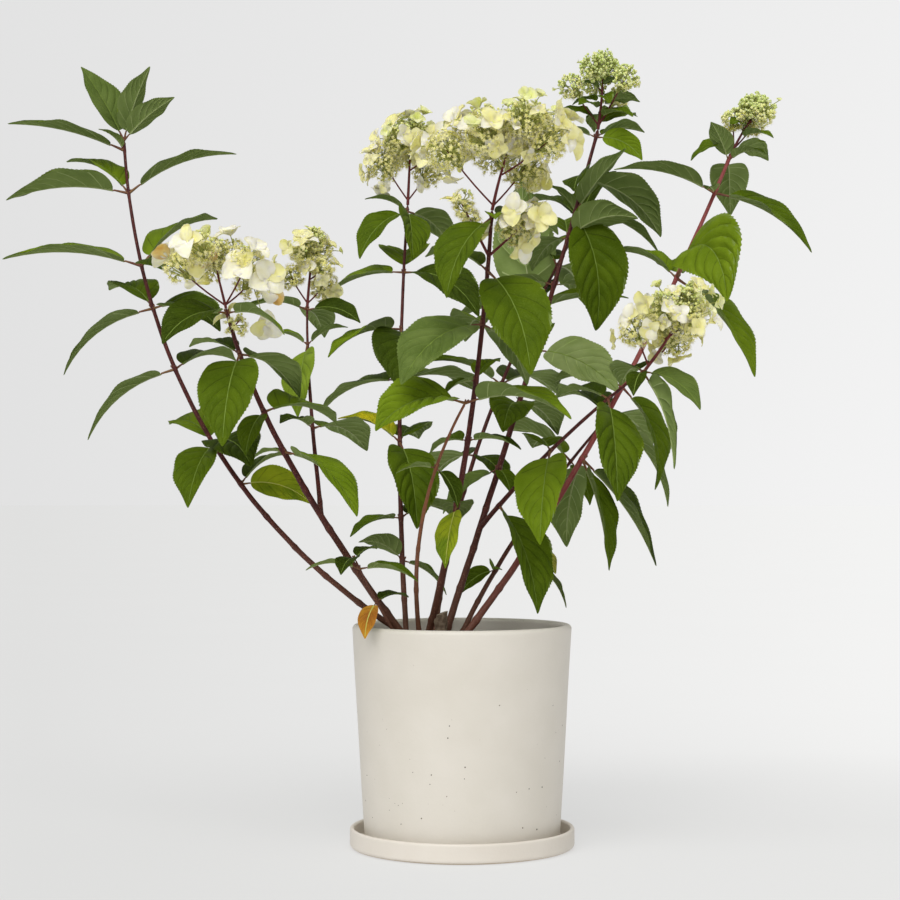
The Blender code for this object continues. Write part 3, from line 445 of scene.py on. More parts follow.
STEMS = (
    Stem("far_left", (-.038, -.004), (-.373, -.055, .4285), (-.411, .03, .85), .0037, (
        (.41, Leaf(358, -19, .62, roll=61, tint=Tint.LIME), Leaf(41, 12, .6, roll=-6)),
        (.49, Leaf(258, -42, .85, roll=7, tint=Tint.GREEN), Leaf(295, -15, .95, roll=15, tint=Tint.DEEP),
         Leaf(129, 11, .75, roll=-17, tint=Tint.BRIGHT)),
        (.63, Leaf(188, -43, .95, roll=4, tint=Tint.GREEN), Leaf(52, 5, .75)),
        (.735, Leaf(188, -41, .95, roll=-4), Leaf(321, -20, .85, roll=20, tint=Tint.DEEP),
         Leaf(128, 12, .8, roll=-16)),
        (.805, Leaf(186, 0, 1.15, 36, -7), Leaf(297, -13, .62, roll=36),
         Leaf(45, 27, .95, roll=-8, tint=Tint.BRIGHT)),
        (.92, Leaf(190, -7, 1.02, 36, 3, tint=Tint.GREEN), Leaf(358, 17, .98, 40, 10),
         Leaf(152, 32, .75, roll=-5, tint=Tint.BRIGHT)),
        (.985, Leaf(183, 11, 1, 30, -4, tint=Tint.GREEN), Leaf(215, 20, .3)),
        (1, Leaf(178, 59, .72, 12, -43, tint=Tint.SAGE), Leaf(2, 70, .66, 12, -30, tint=Tint.FRESH),
         Leaf(358, 39, .56, 25, -29, tint=Tint.FRESH)))),
    Stem("left_flower", (-.056, -.03), (-.2324, -.105, .474), (-.264, -.18, .6272), .0045, (
        (.542, Leaf(317, -35, 1, roll=-14, tint=Tint.BRIGHT), Leaf(165, -4, .3)),
        (.662, Leaf(54, -8, .95, roll=13, tint=Tint.BRIGHT), Leaf(250, -50, .5, tint=Tint.GREEN)),
        (.845, Leaf(264, -52, 1, roll=6, tint=Tint.GREEN), Leaf(57, -35, .85, roll=8, tint=Tint.GREEN),
         Leaf(140, 5, .6)),
        (.985, Leaf(230, -26, .75, roll=-14, tint=Tint.DEEP), Leaf(329, -23, .6, roll=-11))),
        head=Panicle((-.014, -.010, .060), .070, 8, 8, .0185, .22, 3, bloom=1.4),
        sprigs=((.93, Panicle((.012, -.016, .010), .010, 1, 0, .0120, arms=0)),)),
    Stem("left_back", (), (-.1924, .085, .5553), (-.196, .15, .657), .0028, (
        (.35, Leaf(60, -15, .9, tint=Tint.GREEN), Leaf(240, 0, .5)),
        (.77, Leaf(263, -60, .8, roll=35, tint=Tint.FRESH), Leaf(180, 15, .35), Leaf(0, 20, .4)),
        (.985, Leaf(212, -7, .65, roll=-2), Leaf(338, -28, .55, roll=26), Leaf(80, -20, .7))),
        fork=("left_flower", .355), head=Panicle((.008, .010, .092), .052, 8, 3, .0165, .18, 2, 1.4)),
    Stem("centre_left", (-.066, .022), (-.087, .1125, .4975), (-.07, .24, .80), .0035, (
        (.195, Leaf(217, 16, .5, roll=24), Leaf(345, -40, .5)),
        (.29, Leaf(215, -20, .55), Leaf(50, -10, .7, tint=Tint.DEEP)),
        (.46, Leaf(285, -54, 1, roll=-13, tint=Tint.GREEN), Leaf(167, 27, .62, roll=-20, tint=Tint.YELLOW),
         Leaf(80, 0, .9)),
        (.6, Leaf(146, -20, .95, roll=-17, tint=Tint.GREEN), Leaf(40, -10, 1, tint=Tint.BRIGHT)),
        (.715, Leaf(271, -39, 1.05, roll=-1, tint=Tint.DEEP),
         Leaf(222, -32, .9, roll=15, tint=Tint.BRIGHT)),
        (.845, Leaf(161, -19, .85, roll=-13, tint=Tint.BRIGHT), Leaf(321, -31, 1, roll=16, tint=Tint.DEEP),
         Leaf(90, 10, 1, tint=Tint.BRIGHT)),
        (.985, Leaf(276, -55, .8, roll=-32, tint=Tint.GREEN),
         Leaf(221, -44, .75, roll=-17, tint=Tint.GREEN), Leaf(48, -29, .7, roll=-11, tint=Tint.GREEN),
         Leaf(178, 13, .42, roll=1))),
        head=Panicle((.004, .010, .100), .067, 9, 6, .0220, .30, bloom=1.15)),
    Stem("brown", (-.048, -.024), (-.0725, -.075, .3905), (.003, -.13, .524), .0030, (
        (.73, Leaf(320, -58, .4), Leaf(200, -10, .35)),
        (1, Leaf(223, -18, 1, roll=-23, tint=Tint.BRIGHT), Leaf(327, -12, 1, roll=-4, tint=Tint.BRIGHT)))),
    Stem("centre", (-.045, .014), (.016, -.0635, .462), (.033, -.157, .74), .0044, (
        (.365, Leaf(253, -60, .6, 40, 28, tint=Tint.LIME), Leaf(90, -20, .6, tint=Tint.GREEN)),
        (.515, Leaf(136, -16, .45, roll=-16), Leaf(332, -12, .5, roll=-4)),
        (.65, Leaf(215, -25, .35), Leaf(60, 20, .45)),
        (.77, Leaf(228, -42, 1.1, roll=-17, tint=Tint.SAGE), Leaf(53, -50, .8, roll=2, tint=Tint.DEEP),
         Leaf(100, -10, .8)),
        (.88, Leaf(298, -55, 1.12, roll=8, tint=Tint.GREEN), Leaf(139, 10, .7)),
        (.985, Leaf(212, -33, .9, roll=-7, tint=Tint.GREEN), Leaf(45, -8, .8), Leaf(275, -12, .3))),
        head=Panicle((.024, -.016, .086), .090, 13, 11, .0240, .36, bloom=1.15),
        sprigs=((.91, Panicle((-.034, -.026, .062), .018, 3, 1, .0120, .6, 0)),
                (.91, Panicle((.046, -.034, .038), .028, 4, 4, .0150, .5, 0)))),
    Stem("tall", (-.026, .012), (.079, .076, .543), (.172, .12, .879), .0044, (
        (.345, Leaf(191, -41, .62, 40, -18, tint=Tint.SAGE), Leaf(290, -40, .35)),
        (.47, Leaf(258, -23, .8, roll=-13, tint=Tint.GREEN), Leaf(60, -22, .8, tint=Tint.DEEP)),
        (.575, Leaf(322, -27, .95, 40, 39, tint=Tint.PALE), Leaf(90, 12, .8, tint=Tint.GREEN)),
        (.7, Leaf(350, -15, .4), Leaf(175, -10, .6)),
        (.79, Leaf(112, -19, .8, roll=-7, tint=Tint.FRESH), Leaf(323, 6, .75, roll=-27, tint=Tint.GREEN),
         Leaf(90, 10, .9)),
        (.84, Leaf(312, -80, 1.1, roll=24, tint=Tint.GREEN), Leaf(9, -28, .85, roll=2, tint=Tint.GREEN),
         Leaf(344, 49, .7, 20, -13, tint=Tint.FRESH)),
        (.905, Leaf(19, -37, .9, roll=-18, tint=Tint.GREEN), Leaf(257, -32, .6, roll=35)),
        (.985, Leaf(336, -42, .5, roll=53, tint=Tint.BRIGHT), Leaf(178, -2, .45),
         Leaf(2, -15, .5, roll=-1, tint=Tint.FRESH))),
        head=Panicle((.008, .004, .092), .060, 9, 0, .0155, .30, 3, 1.2)),
    Stem("right_flower", (), (.105, -.08, .485), (.206, -.15, .561), .0031, (
        (.135, Leaf(298, -57, 1.1, roll=-20, tint=Tint.GREEN)),
        (.465, Leaf(260, -53, 1, roll=20, tint=Tint.BRIGHT), Leaf(100, 0, .7)),
        (.8, Leaf(273, -59, 1, roll=-35, tint=Tint.GREEN), Leaf(131, 0, .6, roll=-4)),
        (.985, Leaf(299, -64, .9, roll=-50), Leaf(330, -36, .6, roll=15, tint=Tint.SAGE),
         Leaf(250, -40, .35), Leaf(100, -10, .7, tint=Tint.DEEP))),
        fork=("tall", .23), head=Panicle((.050, -.016, .080), .062, 9, 6, .0200, .26, bloom=1.1)),
    Stem("far_right", (-.010, -.012), (.179, .06, .471), (.334, .07, .843), .0044, (
        (.22, Leaf(9, -52, .6, roll=8), Leaf(48, -23, .5, roll=-21, tint=Tint.LIME)),
        (.43, Leaf(110, -70, .85, roll=-12, tint=Tint.FRESH),
         Leaf(294, -65, 1.05, 36, -43, tint=Tint.GREEN), Leaf(2, -67, 1.1, 30, 6)),
        (.575, Leaf(347, -76, .95, roll=17, tint=Tint.GREEN), Leaf(150, 0, .7, tint=Tint.BRIGHT)),
        (.78, Leaf(149, 20, .68, roll=-4, tint=Tint.BRIGHT),
         Leaf(287, -24, 1.35, 120, 46, tint=Tint.BRIGHT), Leaf(325, -52, 1.15, 36, -12, tint=Tint.BRIGHT),
         Leaf(80, 5, .9)),
        (.93, Leaf(161, 12, .9, 36, 2, tint=Tint.FRESH), Leaf(344, -36, 1, 40, 13, tint=Tint.GREEN),
         Leaf(250, -5, .3)),
        (.985, Leaf(81, -39, .72, roll=-1, tint=Tint.PALE), Leaf(234, 42, .42, 30, 12),
         Leaf(316, -3, .42, 60, 9))),
        head=Panicle((.036, .004, .060), .038, 7, 0, .0145, .42)),
    Stem("low_right", (-.008, .024), (.055, .07, .3725), (.19, .2, .52), .0034, (
        (.33, Leaf(264, 1, .3, 40, -48, tint=Tint.BRIGHT), Leaf(186, -47, .36, roll=-41, tint=Tint.GREEN)),
        (.8, Leaf(117, 37, .85, roll=19, tint=Tint.BRIGHT), Leaf(300, -55, .5, tint=Tint.GREEN)),
        (1, Leaf(341, -59, 1, roll=-11, tint=Tint.GREEN), Leaf(60, -20, 1, tint=Tint.DEEP),
         Leaf(120, 10, .9)))),
    Stem("back_right", (-.035, .042), (-.007, .22, .4875), (.156, .21, .7735), .0034, (
        (.45, Leaf(120, -20, .9), Leaf(300, -30, .6)),
        (.62, Leaf(60, -15, 1.1, tint=Tint.DEEP), Leaf(200, -10, .8, tint=Tint.GREEN)),
        (.8, Leaf(355, 4, .85, 36, 6), Leaf(150, -10, .9, tint=Tint.DEEP), Leaf(90, 0, 1, tint=Tint.DEEP),
         Leaf(311, 75, 1.22, 24, -41, tint=Tint.SAGE)),
        (.9, Leaf(70, -20, 1, tint=Tint.DEEP), Leaf(119, 5, .8, roll=27, tint=Tint.DEEP)),
        (1, Leaf(40, 45, .7, tint=Tint.DEEP), Leaf(200, 50, .5, tint=Tint.GREEN),
         Leaf(120, 25, .9, tint=Tint.DEEP), Leaf(75, -10, .7, tint=Tint.BRIGHT)))),
    Stem("low_left", (-.066, -.060), (-.098, -.076, .29), (-.124, -.090, .345), .0020, (
        (.55, Leaf(240, -62, .35, tint=Tint.SPENT), Leaf(50, 0, .4)),
        (.9, Leaf(180, 5, .45), Leaf(350, -15, .5)),
        (1, Leaf(235, -40, .4), Leaf(60, 10, .35)))),
)


# The growth rule

def unit(vectors: Array) -> Array:
    """Vectors at a length of one, along the last axis."""
    return vectors / np.linalg.norm(vectors, axis=-1, keepdims=True)


def stem_named(name: str) -> Stem:
    """The stem with this name."""
    return next(stem for stem in STEMS if stem.name == name)


def stem_at(stem: Stem, share: float | Array) -> Array:
    """Points of a stem's axis, on the curve (1-t)^2 foot + 2t(1-t) elbow + t^2 tip.

    Args:
        stem: the stem.
        share: shares t of the stem's length.

    Returns:
        A point for each share, (n, 3).
    """
    if stem.fork:
        parent, where = stem.fork
        foot = stem_at(stem_named(parent), where)[0]
    else:
        foot = np.array([*stem.foot, SOIL_TOP])
    elbow, tip = np.array(stem.elbow), np.array(stem.tip)
    t = np.atleast_1d(np.asarray(share, float))[:, None]
    return (1 - t) ** 2 * foot + 2 * t * (1 - t) * elbow + t ** 2 * tip


def stem_radius(stem: Stem, share: Array) -> Array:
    """Radius of a stem, which falls evenly with the share of its length."""
    return stem.radius * (1 - STEM_TAPER * share)


def blade_half_width(share: Array) -> Array:
    """Half width of a blade, 1 at its widest: sin(pi t^0.8)^0.62 (1 - 0.25 t^2) at share t of its length."""
    share = np.asarray(share, float)
    return np.sin(pi * share ** 0.8) ** 0.62 * (1 - 0.25 * share ** 2)


@dataclass
class GrownLeaf:
    """A leaf in its place: its root on the stem's axis, its heading and the angles of its blade."""

    root: Array
    turn: float
    lift: float
    arch: float
    length: float
    roll: float
    tint: Tint | None = None

    def frame(self, share: Array) -> tuple[Array, Array, Array]:
        """Directions along the midrib, across the blade and out of its face.

        The heading starts at the lift and bends down evenly by the arch, and the blade rolls round it.

        Args:
            share: shares of the blade's length, (n,).

        Returns:
            The three directions, each (n, 3).
        """
        turn, roll = radians(self.turn), radians(self.roll)
        level = np.array([cos(turn), sin(turn), 0.0])
        side = np.array([-sin(turn), cos(turn), 0.0])
        angle = np.radians(self.lift - self.arch * np.asarray(share, float))
        along = np.outer(np.cos(angle), level) + np.outer(np.sin(angle), (0.0, 0.0, 1.0))
        face = np.cross(along, side)
        return along, side * cos(roll) + face * sin(roll), face * cos(roll) - side * sin(roll)

    def midrib(self, share: Array) -> Array:
        """Points of the midrib, (n, 3): the petiole's end, then the sum of the heading along the blade."""
        fine = np.linspace(0, 1, 41)
        along = self.frame(fine)[0]
        steps = (along[1:] + along[:-1]) / 2 * self.length / 40
        path = np.vstack([np.zeros(3), np.cumsum(steps, axis=0)])
        blade_start = self.root + along[0] * PETIOLE * self.length
        return blade_start + np.stack([np.interp(share, fine, path[:, k]) for k in range(3)], axis=1)

    def blade(self, share: Array, across: Array) -> Array:
        """Points of the plain folded blade.

        Args:
            share: shares of the blade's length, (n,).
            across: from -1 to 1, shares of its half width, (n,).

        Returns:
            midrib + side * across * half width + face * rise, where the rise grows with |across|, (n, 3).
        """
        share, across = np.asarray(share, float), np.asarray(across, float)
        _, side, face = self.frame(share)
        half = (blade_half_width(share) * LEAF_HALF_WIDTH * self.length)[:, None]
        rise = np.abs(across)[:, None] * half * LEAF_FOLD * (1 - 0.6 * share)[:, None]
        return self.midrib(share) + side * across[:, None] * half + face * rise


@dataclass
class Branch:
    """A branch of a flower head: from the axis to its end, where its florets stand in a lump."""

    start: Array
    end: Array
    lump: float


@dataclass
class ShowyFloret:
    """A showy floret: where its stalk starts, its middle, the way it faces and its size."""

    start: Array
    middle: Array
    facing: Array
    size: float


@dataclass
class Growth:
    """The whole plant as the rule grows it: heads, side sprigs and leaves by the name of their stem."""

    heads: dict[str, tuple] = field(default_factory=dict)
    sprigs: dict[str, list] = field(default_factory=dict)
    leaves: dict[str, list[GrownLeaf]] = field(default_factory=dict)

    @staticmethod
    def branches(panicle: Panicle, foot: Array, rng: Rng) -> list[Branch]:
        """Branches round the axis at the golden turn, longest low down and shortest at the top.

        Args:
            panicle: the head's sizes.
            foot: where its axis starts.
            rng: the seeded numbers of the rule.

        Returns:
            The branches from the lowest to the highest.
        """
        axis = np.array(panicle.axis)
        found = []
        for k in range(panicle.branches):
            height = k / max(panicle.branches - 1, 1)
            start = foot + axis * (panicle.bare + (0.92 - panicle.bare) * height)
            spread = (1 - height ** panicle.dome) ** 0.6
            reach = panicle.reach * spread * rng.uniform(0.78, 1.0) - panicle.lump
            reach = max(reach, panicle.lump * 0.25)
            turn = k * GOLDEN_TURN + 0.9
            rise = 0.45 + 0.5 * height
            end = start + np.array([cos(turn), sin(turn), rise]) * reach
            if k < panicle.arms:
                start = foot + axis * ARM_START
            found.append(Branch(start, end, panicle.lump * rng.uniform(0.85, 1.1)))
        return found

    @staticmethod
    def florets(panicle: Panicle, branches: list[Branch], foot: Array, rng: Rng) -> list[ShowyFloret]:
        """Showy florets past the lumps, faces turned out and up, spread over the branches.

        Args:
            panicle: the head's sizes.
            branches: its branches.
            foot: where its axis starts.
            rng: the seeded numbers of the rule.

        Returns:
            The showy florets.
        """
        middle = foot + np.array(panicle.axis) * HEAD_MIDDLE
        found = []
        for k in range(panicle.showy):
            branch = branches[(k * 5 + 1) % len(branches)]
            out = unit(branch.end - middle + rng.uniform(-0.4, 0.4, 3) * panicle.reach)
            facing = unit(out + np.array([0.0, 0.0, 0.35]))
            place = branch.end + out * branch.lump * 1.25
            size = FLORET * panicle.bloom * rng.uniform(0.75, 1.1)
            found.append(ShowyFloret(branch.end, place, facing, size))
        return found

    def grown(self, panicle: Panicle, foot: Array, rng: Rng) -> tuple:
        """A flower head as a whole: its sizes, its foot, its branches and its showy florets."""
        branches = self.branches(panicle, foot, rng)
        return panicle, foot, branches, self.florets(panicle, branches, foot, rng)

    def grow_heads(self) -> None:
        """Grows every flower head and side sprig, in the order of the stems."""
        rng = np.random.default_rng(SEED)
        for stem in STEMS:
            if stem.head:
                ends = stem_at(stem, [0.99, 1.0])
                foot = ends[1] + unit(ends[1] - ends[0]) * GAP
                self.heads[stem.name] = self.grown(stem.head, foot, rng)
            for share, panicle in stem.sprigs:
                sprig = self.grown(panicle, stem_at(stem, share)[0], rng)
                self.sprigs.setdefault(stem.name, []).append(sprig)

    @staticmethod
    def nearest(points: Array, others: Array) -> float:
        """Least distance between two sets of points."""
        return sqrt(((points[:, None] - others[None]) ** 2).sum(axis=2).min())

    def has_room(self, points: Array, root: Array, own: list[Array], others: list[Array], limbs: Array,
                 lumps: tuple[Array, Array]) -> bool:
        """Whether a blade keeps clear of the pot, the stems, the flower heads and the leaves already grown.

        Args:
            points: points spread over the blade.
            root: where the leaf springs from its stem.
            own: blades of the same stem.
            others: blades of the stems before it.
            limbs: points along every stem's axis.
            lumps: middles and radii of the lumps of florets.

        Returns:
            True where there is room.
        """
        radius = np.hypot(points[:, 0], points[:, 1])
        over_pot = radius < SAUCER_RADIUS + POT_CLEAR
        if (points[over_pot, 2] < POT_TOP + POT_CLEAR).any():
            return False
        if own and self.nearest(points, np.vstack(own)) < LEAF_CLEAR * 0.6:
            return False
        if others and self.nearest(points, np.vstack(others)) < LEAF_CLEAR:
            return False
        far = limbs[np.linalg.norm(limbs - root, axis=1) > ROOM_AT_ROOT]
        if self.nearest(points, far) < LIMB_CLEAR:
            return False
        middles, radii = lumps
        spread = np.linalg.norm(points[:, None] - middles[None], axis=2)
        return bool((spread > radii[None] + LEAF_CLEAR * 0.5).all())

    def grow_leaves(self) -> None:
        """Grows every leaf that has room. One that has none turns or tilts a little."""
        rng = np.random.default_rng(SEED)
        limbs = np.vstack([stem_at(stem, np.linspace(0, 1, 60)) for stem in STEMS])
        heads = [*self.heads.values(), *(sprig for group in self.sprigs.values() for sprig in group)]
        every = [branch for _, _, branches, _ in heads for branch in branches]
        lumps = np.array([branch.end for branch in every]), np.array([branch.lump for branch in every])
        share, across = (grid.ravel() for grid in np.meshgrid(np.linspace(0.1, 0.98, 11),
                                                              np.linspace(-0.9, 0.9, 7)))
        others: list[Array] = []
        for stem in STEMS:
            own: list[Array] = []
            self.leaves[stem.name] = []
            for where, *leaves in stem.whorls:
                root = stem_at(stem, where)[0]
                for leaf in leaves:
                    noise = rng.uniform(-1, 1, 2)
                    arch = leaf.arch + LEAF_NOISE[0] * noise[0]
                    roll = leaf.roll + LEAF_NOISE[1] * noise[1]
                    for turn, tilt in TRIES:
                        lift = leaf.pitch + tilt + arch / 2
                        trial = GrownLeaf(root, leaf.turn + turn, lift, arch, LEAF_LENGTH * leaf.size,
                                          roll, leaf.tint)
                        points = trial.blade(share, across)
                        if self.has_room(points, root, own, others, limbs, lumps):
                            own.append(points)
                            self.leaves[stem.name].append(trial)
                            break
            others.extend(own)


# Making meshes

def rotated(one: Array, other: Array, angle: Array) -> tuple[Array, Array]:
    """Two directions turned by an angle in their own plane, the first towards the other."""
    c, s = np.cos(angle), np.sin(angle)
    return one * c + other * s, other * c - one * s


def evenly(count: int) -> Array:
    """Angles evenly round a circle."""
    return 2 * pi * np.arange(count) / count


def polar(angle: Array, radius: float | Array = 1.0, height: float | Array = 0.0) -> Array:
    """Points at an angle and a radius round the Z axis and at a height, (..., 3)."""
    return np.stack(np.broadcast_arrays(radius * np.cos(angle), radius * np.sin(angle), height), axis=-1)


def shown(name: str, data: bpy.types.ID) -> bpy.types.Object:
    """A new object with this data, in the scene."""
    made = bpy.data.objects.new(name, data)
    bpy.context.scene.collection.objects.link(made)
    return made


def steady_axis(directions: Array) -> Array:
    """For each direction, (k, 3), the world axis that lies most across it, as a unit vector."""
    return np.eye(3)[np.abs(directions).argmin(axis=-1)]


def halves(quads: Array) -> Array:
    """Two triangles for each four corners, (2m, 3)."""
    return np.vstack([quads[:, [0, 1, 2]], quads[:, [0, 2, 3]]])


def tube_triangles(rings: int, sides: int) -> Array:
    """Triangles of a tube of rings, closed by a fan at each end, with all faces outwards."""
    ids = np.arange(rings * sides).reshape(rings, sides)
    low, high = ids[:-1], ids[1:]
    quads = np.stack([low, np.roll(low, -1, 1), np.roll(high, -1, 1), high], axis=-1).reshape(-1, 4)
    fan = np.arange(1, sides - 1)
    start = np.stack([0 * fan, fan + 1, fan], axis=1)
    end = ids[-1, 0] + np.stack([0 * fan, fan, fan + 1], axis=1)
    return np.vstack([halves(quads), start, end])


def sweep(paths: Array, radii: Array, sides: int) -> Array:
    """Tubes along paths: path + radius (side cos a + up sin a), each ring square to the heading at its point.

    Args:
        paths: k paths of n points, (k, n, 3).
        radii: a radius for each point, (k, n), or for each point of each ring, (k, n, sides).
        sides: points in a ring.

    Returns:
        The rings' points in order, (k, n * sides, 3).
    """
    heading = unit(np.gradient(paths, axis=1))
    across = steady_axis(paths[:, -1] - paths[:, 0])[:, None]
    side = unit(np.cross(across, heading))
    up = np.cross(heading, side)
    angle = evenly(sides)[:, None]
    ring = side[:, :, None] * np.cos(angle) + up[:, :, None] * np.sin(angle)
    points = paths[:, :, None] + ring * radii.reshape(*radii.shape[:2], -1, 1)
    return points.reshape(len(paths), -1, 3)


def placed(shape: Array, places: Array, axes: Array, turns: Array, sizes: Array) -> Array:
    """Copies of a shape: place + size (x across + y other + z axis), turned round the axis.

    Args:
        shape: the shape's corners, (n, 3).
        places: where its origin goes, (k, 3).
        axes: where its own Z points, unit vectors, (k, 3).
        turns: its turn round that axis, (k,).
        sizes: its size, (k,).

    Returns:
        The copies' corners, (k, n, 3).
    """
    side = unit(np.cross(steady_axis(axes), axes))
    frames = np.stack([*rotated(side, np.cross(axes, side), turns[:, None]), axes], axis=1)
    return places[:, None] + sizes[:, None, None] * (shape @ frames)


@dataclass
class Surface:
    """Points and triangles gathered for one piece, with a finish's number for each triangle."""

    name: str
    palette: Sequence[Finish]
    points: list[Array] = field(default_factory=list)
    triangles: list[Array] = field(default_factory=list)
    finishes: list[Array] = field(default_factory=list)
    count: int = 0
    crease: float = radians(72)

    def add(self, points: Array, triangles: Array, finish: int | Array = 0) -> None:
        """Adds one or more copies of a shape.

        Args:
            points: the copies' corners, (k, n, 3), or (n, 3) for one.
            triangles: the shape's triangles, (m, 3).
            finish: its number in the palette, one for all, (m,) for each triangle or (k, 1) for each copy.
        """
        points = points.reshape(-1, points.shape[-2], 3)
        copies, corners = points.shape[:2]
        shift = self.count + corners * np.arange(copies)
        self.points.append(points.reshape(-1, 3))
        self.triangles.append((triangles[None] + shift[:, None, None]).reshape(-1, 3))
        self.finishes.append(np.broadcast_to(finish, (copies, len(triangles))).ravel())
        self.count += copies * corners

    def tubes(self, paths: Array, radii: Array, sides: int, finish: int | Array = 0) -> None:
        """Adds the closed tubes of sweep."""
        self.add(sweep(paths, radii, sides), tube_triangles(paths.shape[1], sides), finish)

    def scatter(self, shape: tuple[Array, Array], places: Array, axes: Array, turns: Array, sizes: Array,
                finish: int | Array = 0) -> None:
        """Adds copies of a shape, its corners and triangles, as placed puts them."""
        self.add(placed(shape[0], places, axes, turns, sizes), shape[1], finish)

    def piece(self, slot: str, *stands_for: str) -> bpy.types.Object:
        """Makes the piece from all that was gathered, without empty triangles and unused corners.

        Args:
            slot: not used.
            stands_for: the CAD nodes that it replaces.

        Returns:
            The object, riding on the one body.
        """
        points, triangles = np.vstack(self.points), np.vstack(self.triangles)
        corners = points[triangles]
        area = np.linalg.norm(np.cross(corners[:, 1] - corners[:, 0], corners[:, 2] - corners[:, 0]), axis=1)
        full = area > SMALLEST_AREA
        used, numbered = np.unique(triangles[full], return_inverse=True)
        numbers, finish = np.unique(np.concatenate(self.finishes)[full], return_inverse=True)
        count = numbered.size // 3
        mesh = bpy.data.meshes.new(self.name)
        mesh.vertices.add(len(used))
        mesh.loops.add(numbered.size)
        mesh.polygons.add(count)
        for items, name, values, kind in (
                (mesh.vertices, "co", points[used], np.float32),
                (mesh.loops, "vertex_index", numbered, np.int32),
                (mesh.polygons, "loop_start", 3 * np.arange(count), np.int32),
                (mesh.polygons, "material_index", finish, np.int32),
                (mesh.polygons, "use_smooth", np.ones(count), bool)):
            items.foreach_set(name, values.astype(kind).ravel())
        mesh.update(calc_edges=True)
        mesh.set_sharp_from_angle(angle=self.crease)
        for number in numbers:
            mesh.materials.append(self.palette[number].material())
        made = shown(self.name, mesh)
        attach(made, "root")
        if stands_for:
            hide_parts(*stands_for)
        log.info("%s: %d triangles", self.name, count)
        return made


def ball(stretch: Colour = (1, 1, 1)) -> tuple[Array, Array]:
    """A ball of twenty faces: a pole, two rings of five half a step apart, and a pole."""
    high, low = polar(evenly(5), 0.894, 0.447), polar(evenly(5) + pi / 5, 0.894, -0.447)
    points = np.vstack([[0, 0, 1], high, low, [0, 0, -1]])
    a, b = np.arange(5), (np.arange(5) + 1) % 5
    top, bottom = 0 * a, 0 * a + 11
    faces = [np.stack(corners, axis=1) for corners in (
        (top, 1 + a, 1 + b), (1 + a, 6 + a, 1 + b), (6 + a, 6 + b, 1 + b), (bottom, 6 + b, 6 + a))]
    return points * stretch, np.vstack(faces)


def star() -> tuple[Array, Array]:
    """A small open flower: five petal tips and five notches round a dome, closed by a point below."""
    even = np.arange(10) % 2 == 0
    rim = polar(evenly(10), np.where(even, 1.0, 0.48), np.where(even, -0.12, 0.05))
    a, b = np.arange(10), (np.arange(10) + 1) % 10
    faces = np.vstack([np.stack([0 * a, 1 + a, 1 + b], 1), np.stack([0 * a + 11, 1 + b, 1 + a], 1)])
    return np.vstack([[0, 0, 0.28], rim, [0, 0, -0.38]]), faces


def stamens(count: int = 5) -> tuple[Array, Array]:
    """Thin three-sided spikes that spread out from a flower's middle, each closed by its foot."""
    lean = unit(polar(evenly(count) + 0.3, np.array([0.55, 0.9, 0.7] * 2)[:count], 1.0))
    tips = lean * np.array([1.5, 1.25, 1.65] * 2)[:count, None]
    rings = sweep(np.stack([lean * 0.15, tips], axis=1), np.tile([0.06, 0.035], (count, 1)), 3)
    faces = tube_triangles(2, 3)[None] + 6 * np.arange(count)[:, None, None]
    return rings.reshape(-1, 3), faces.reshape(-1, 3)


@dataclass(frozen=True)
class Sheet:
    """A thin closed sheet on a grid: an upper and a lower skin that share their rim and both ends."""

    rows: int
    columns: int

    def faces(self) -> tuple[Array, Array]:
        """The triangles, and for each its skin (0 above, 1 below), its row and its column.

        Returns:
            Triangles into 2 * rows * columns points, (m, 3), and their three numbers, (m, 3). At the two
            ends one of each two triangles is empty.
        """
        upper = np.arange(self.rows * self.columns).reshape(self.rows, self.columns)
        upper[0], upper[-1] = upper[0, 0], upper[-1, 0]
        lower = upper + self.rows * self.columns
        lower[:, [0, -1]] = upper[:, [0, -1]]
        lower[0], lower[-1] = upper[0, 0], upper[-1, 0]
        row, column = np.indices((self.rows - 1, self.columns - 1)).reshape(2, -1)
        quads = [np.stack([ids[row, column], ids[row + 1, column], ids[row + 1, column + 1],
                           ids[row, column + 1]], axis=1) for ids in (upper, lower)]
        marks = [np.stack([skin + 0 * row, row, column], axis=1) for skin in (0, 0, 1, 1)]
        return np.vstack([halves(quads[0]), halves(quads[1][:, ::-1])]), np.vstack(marks)


# Leaves

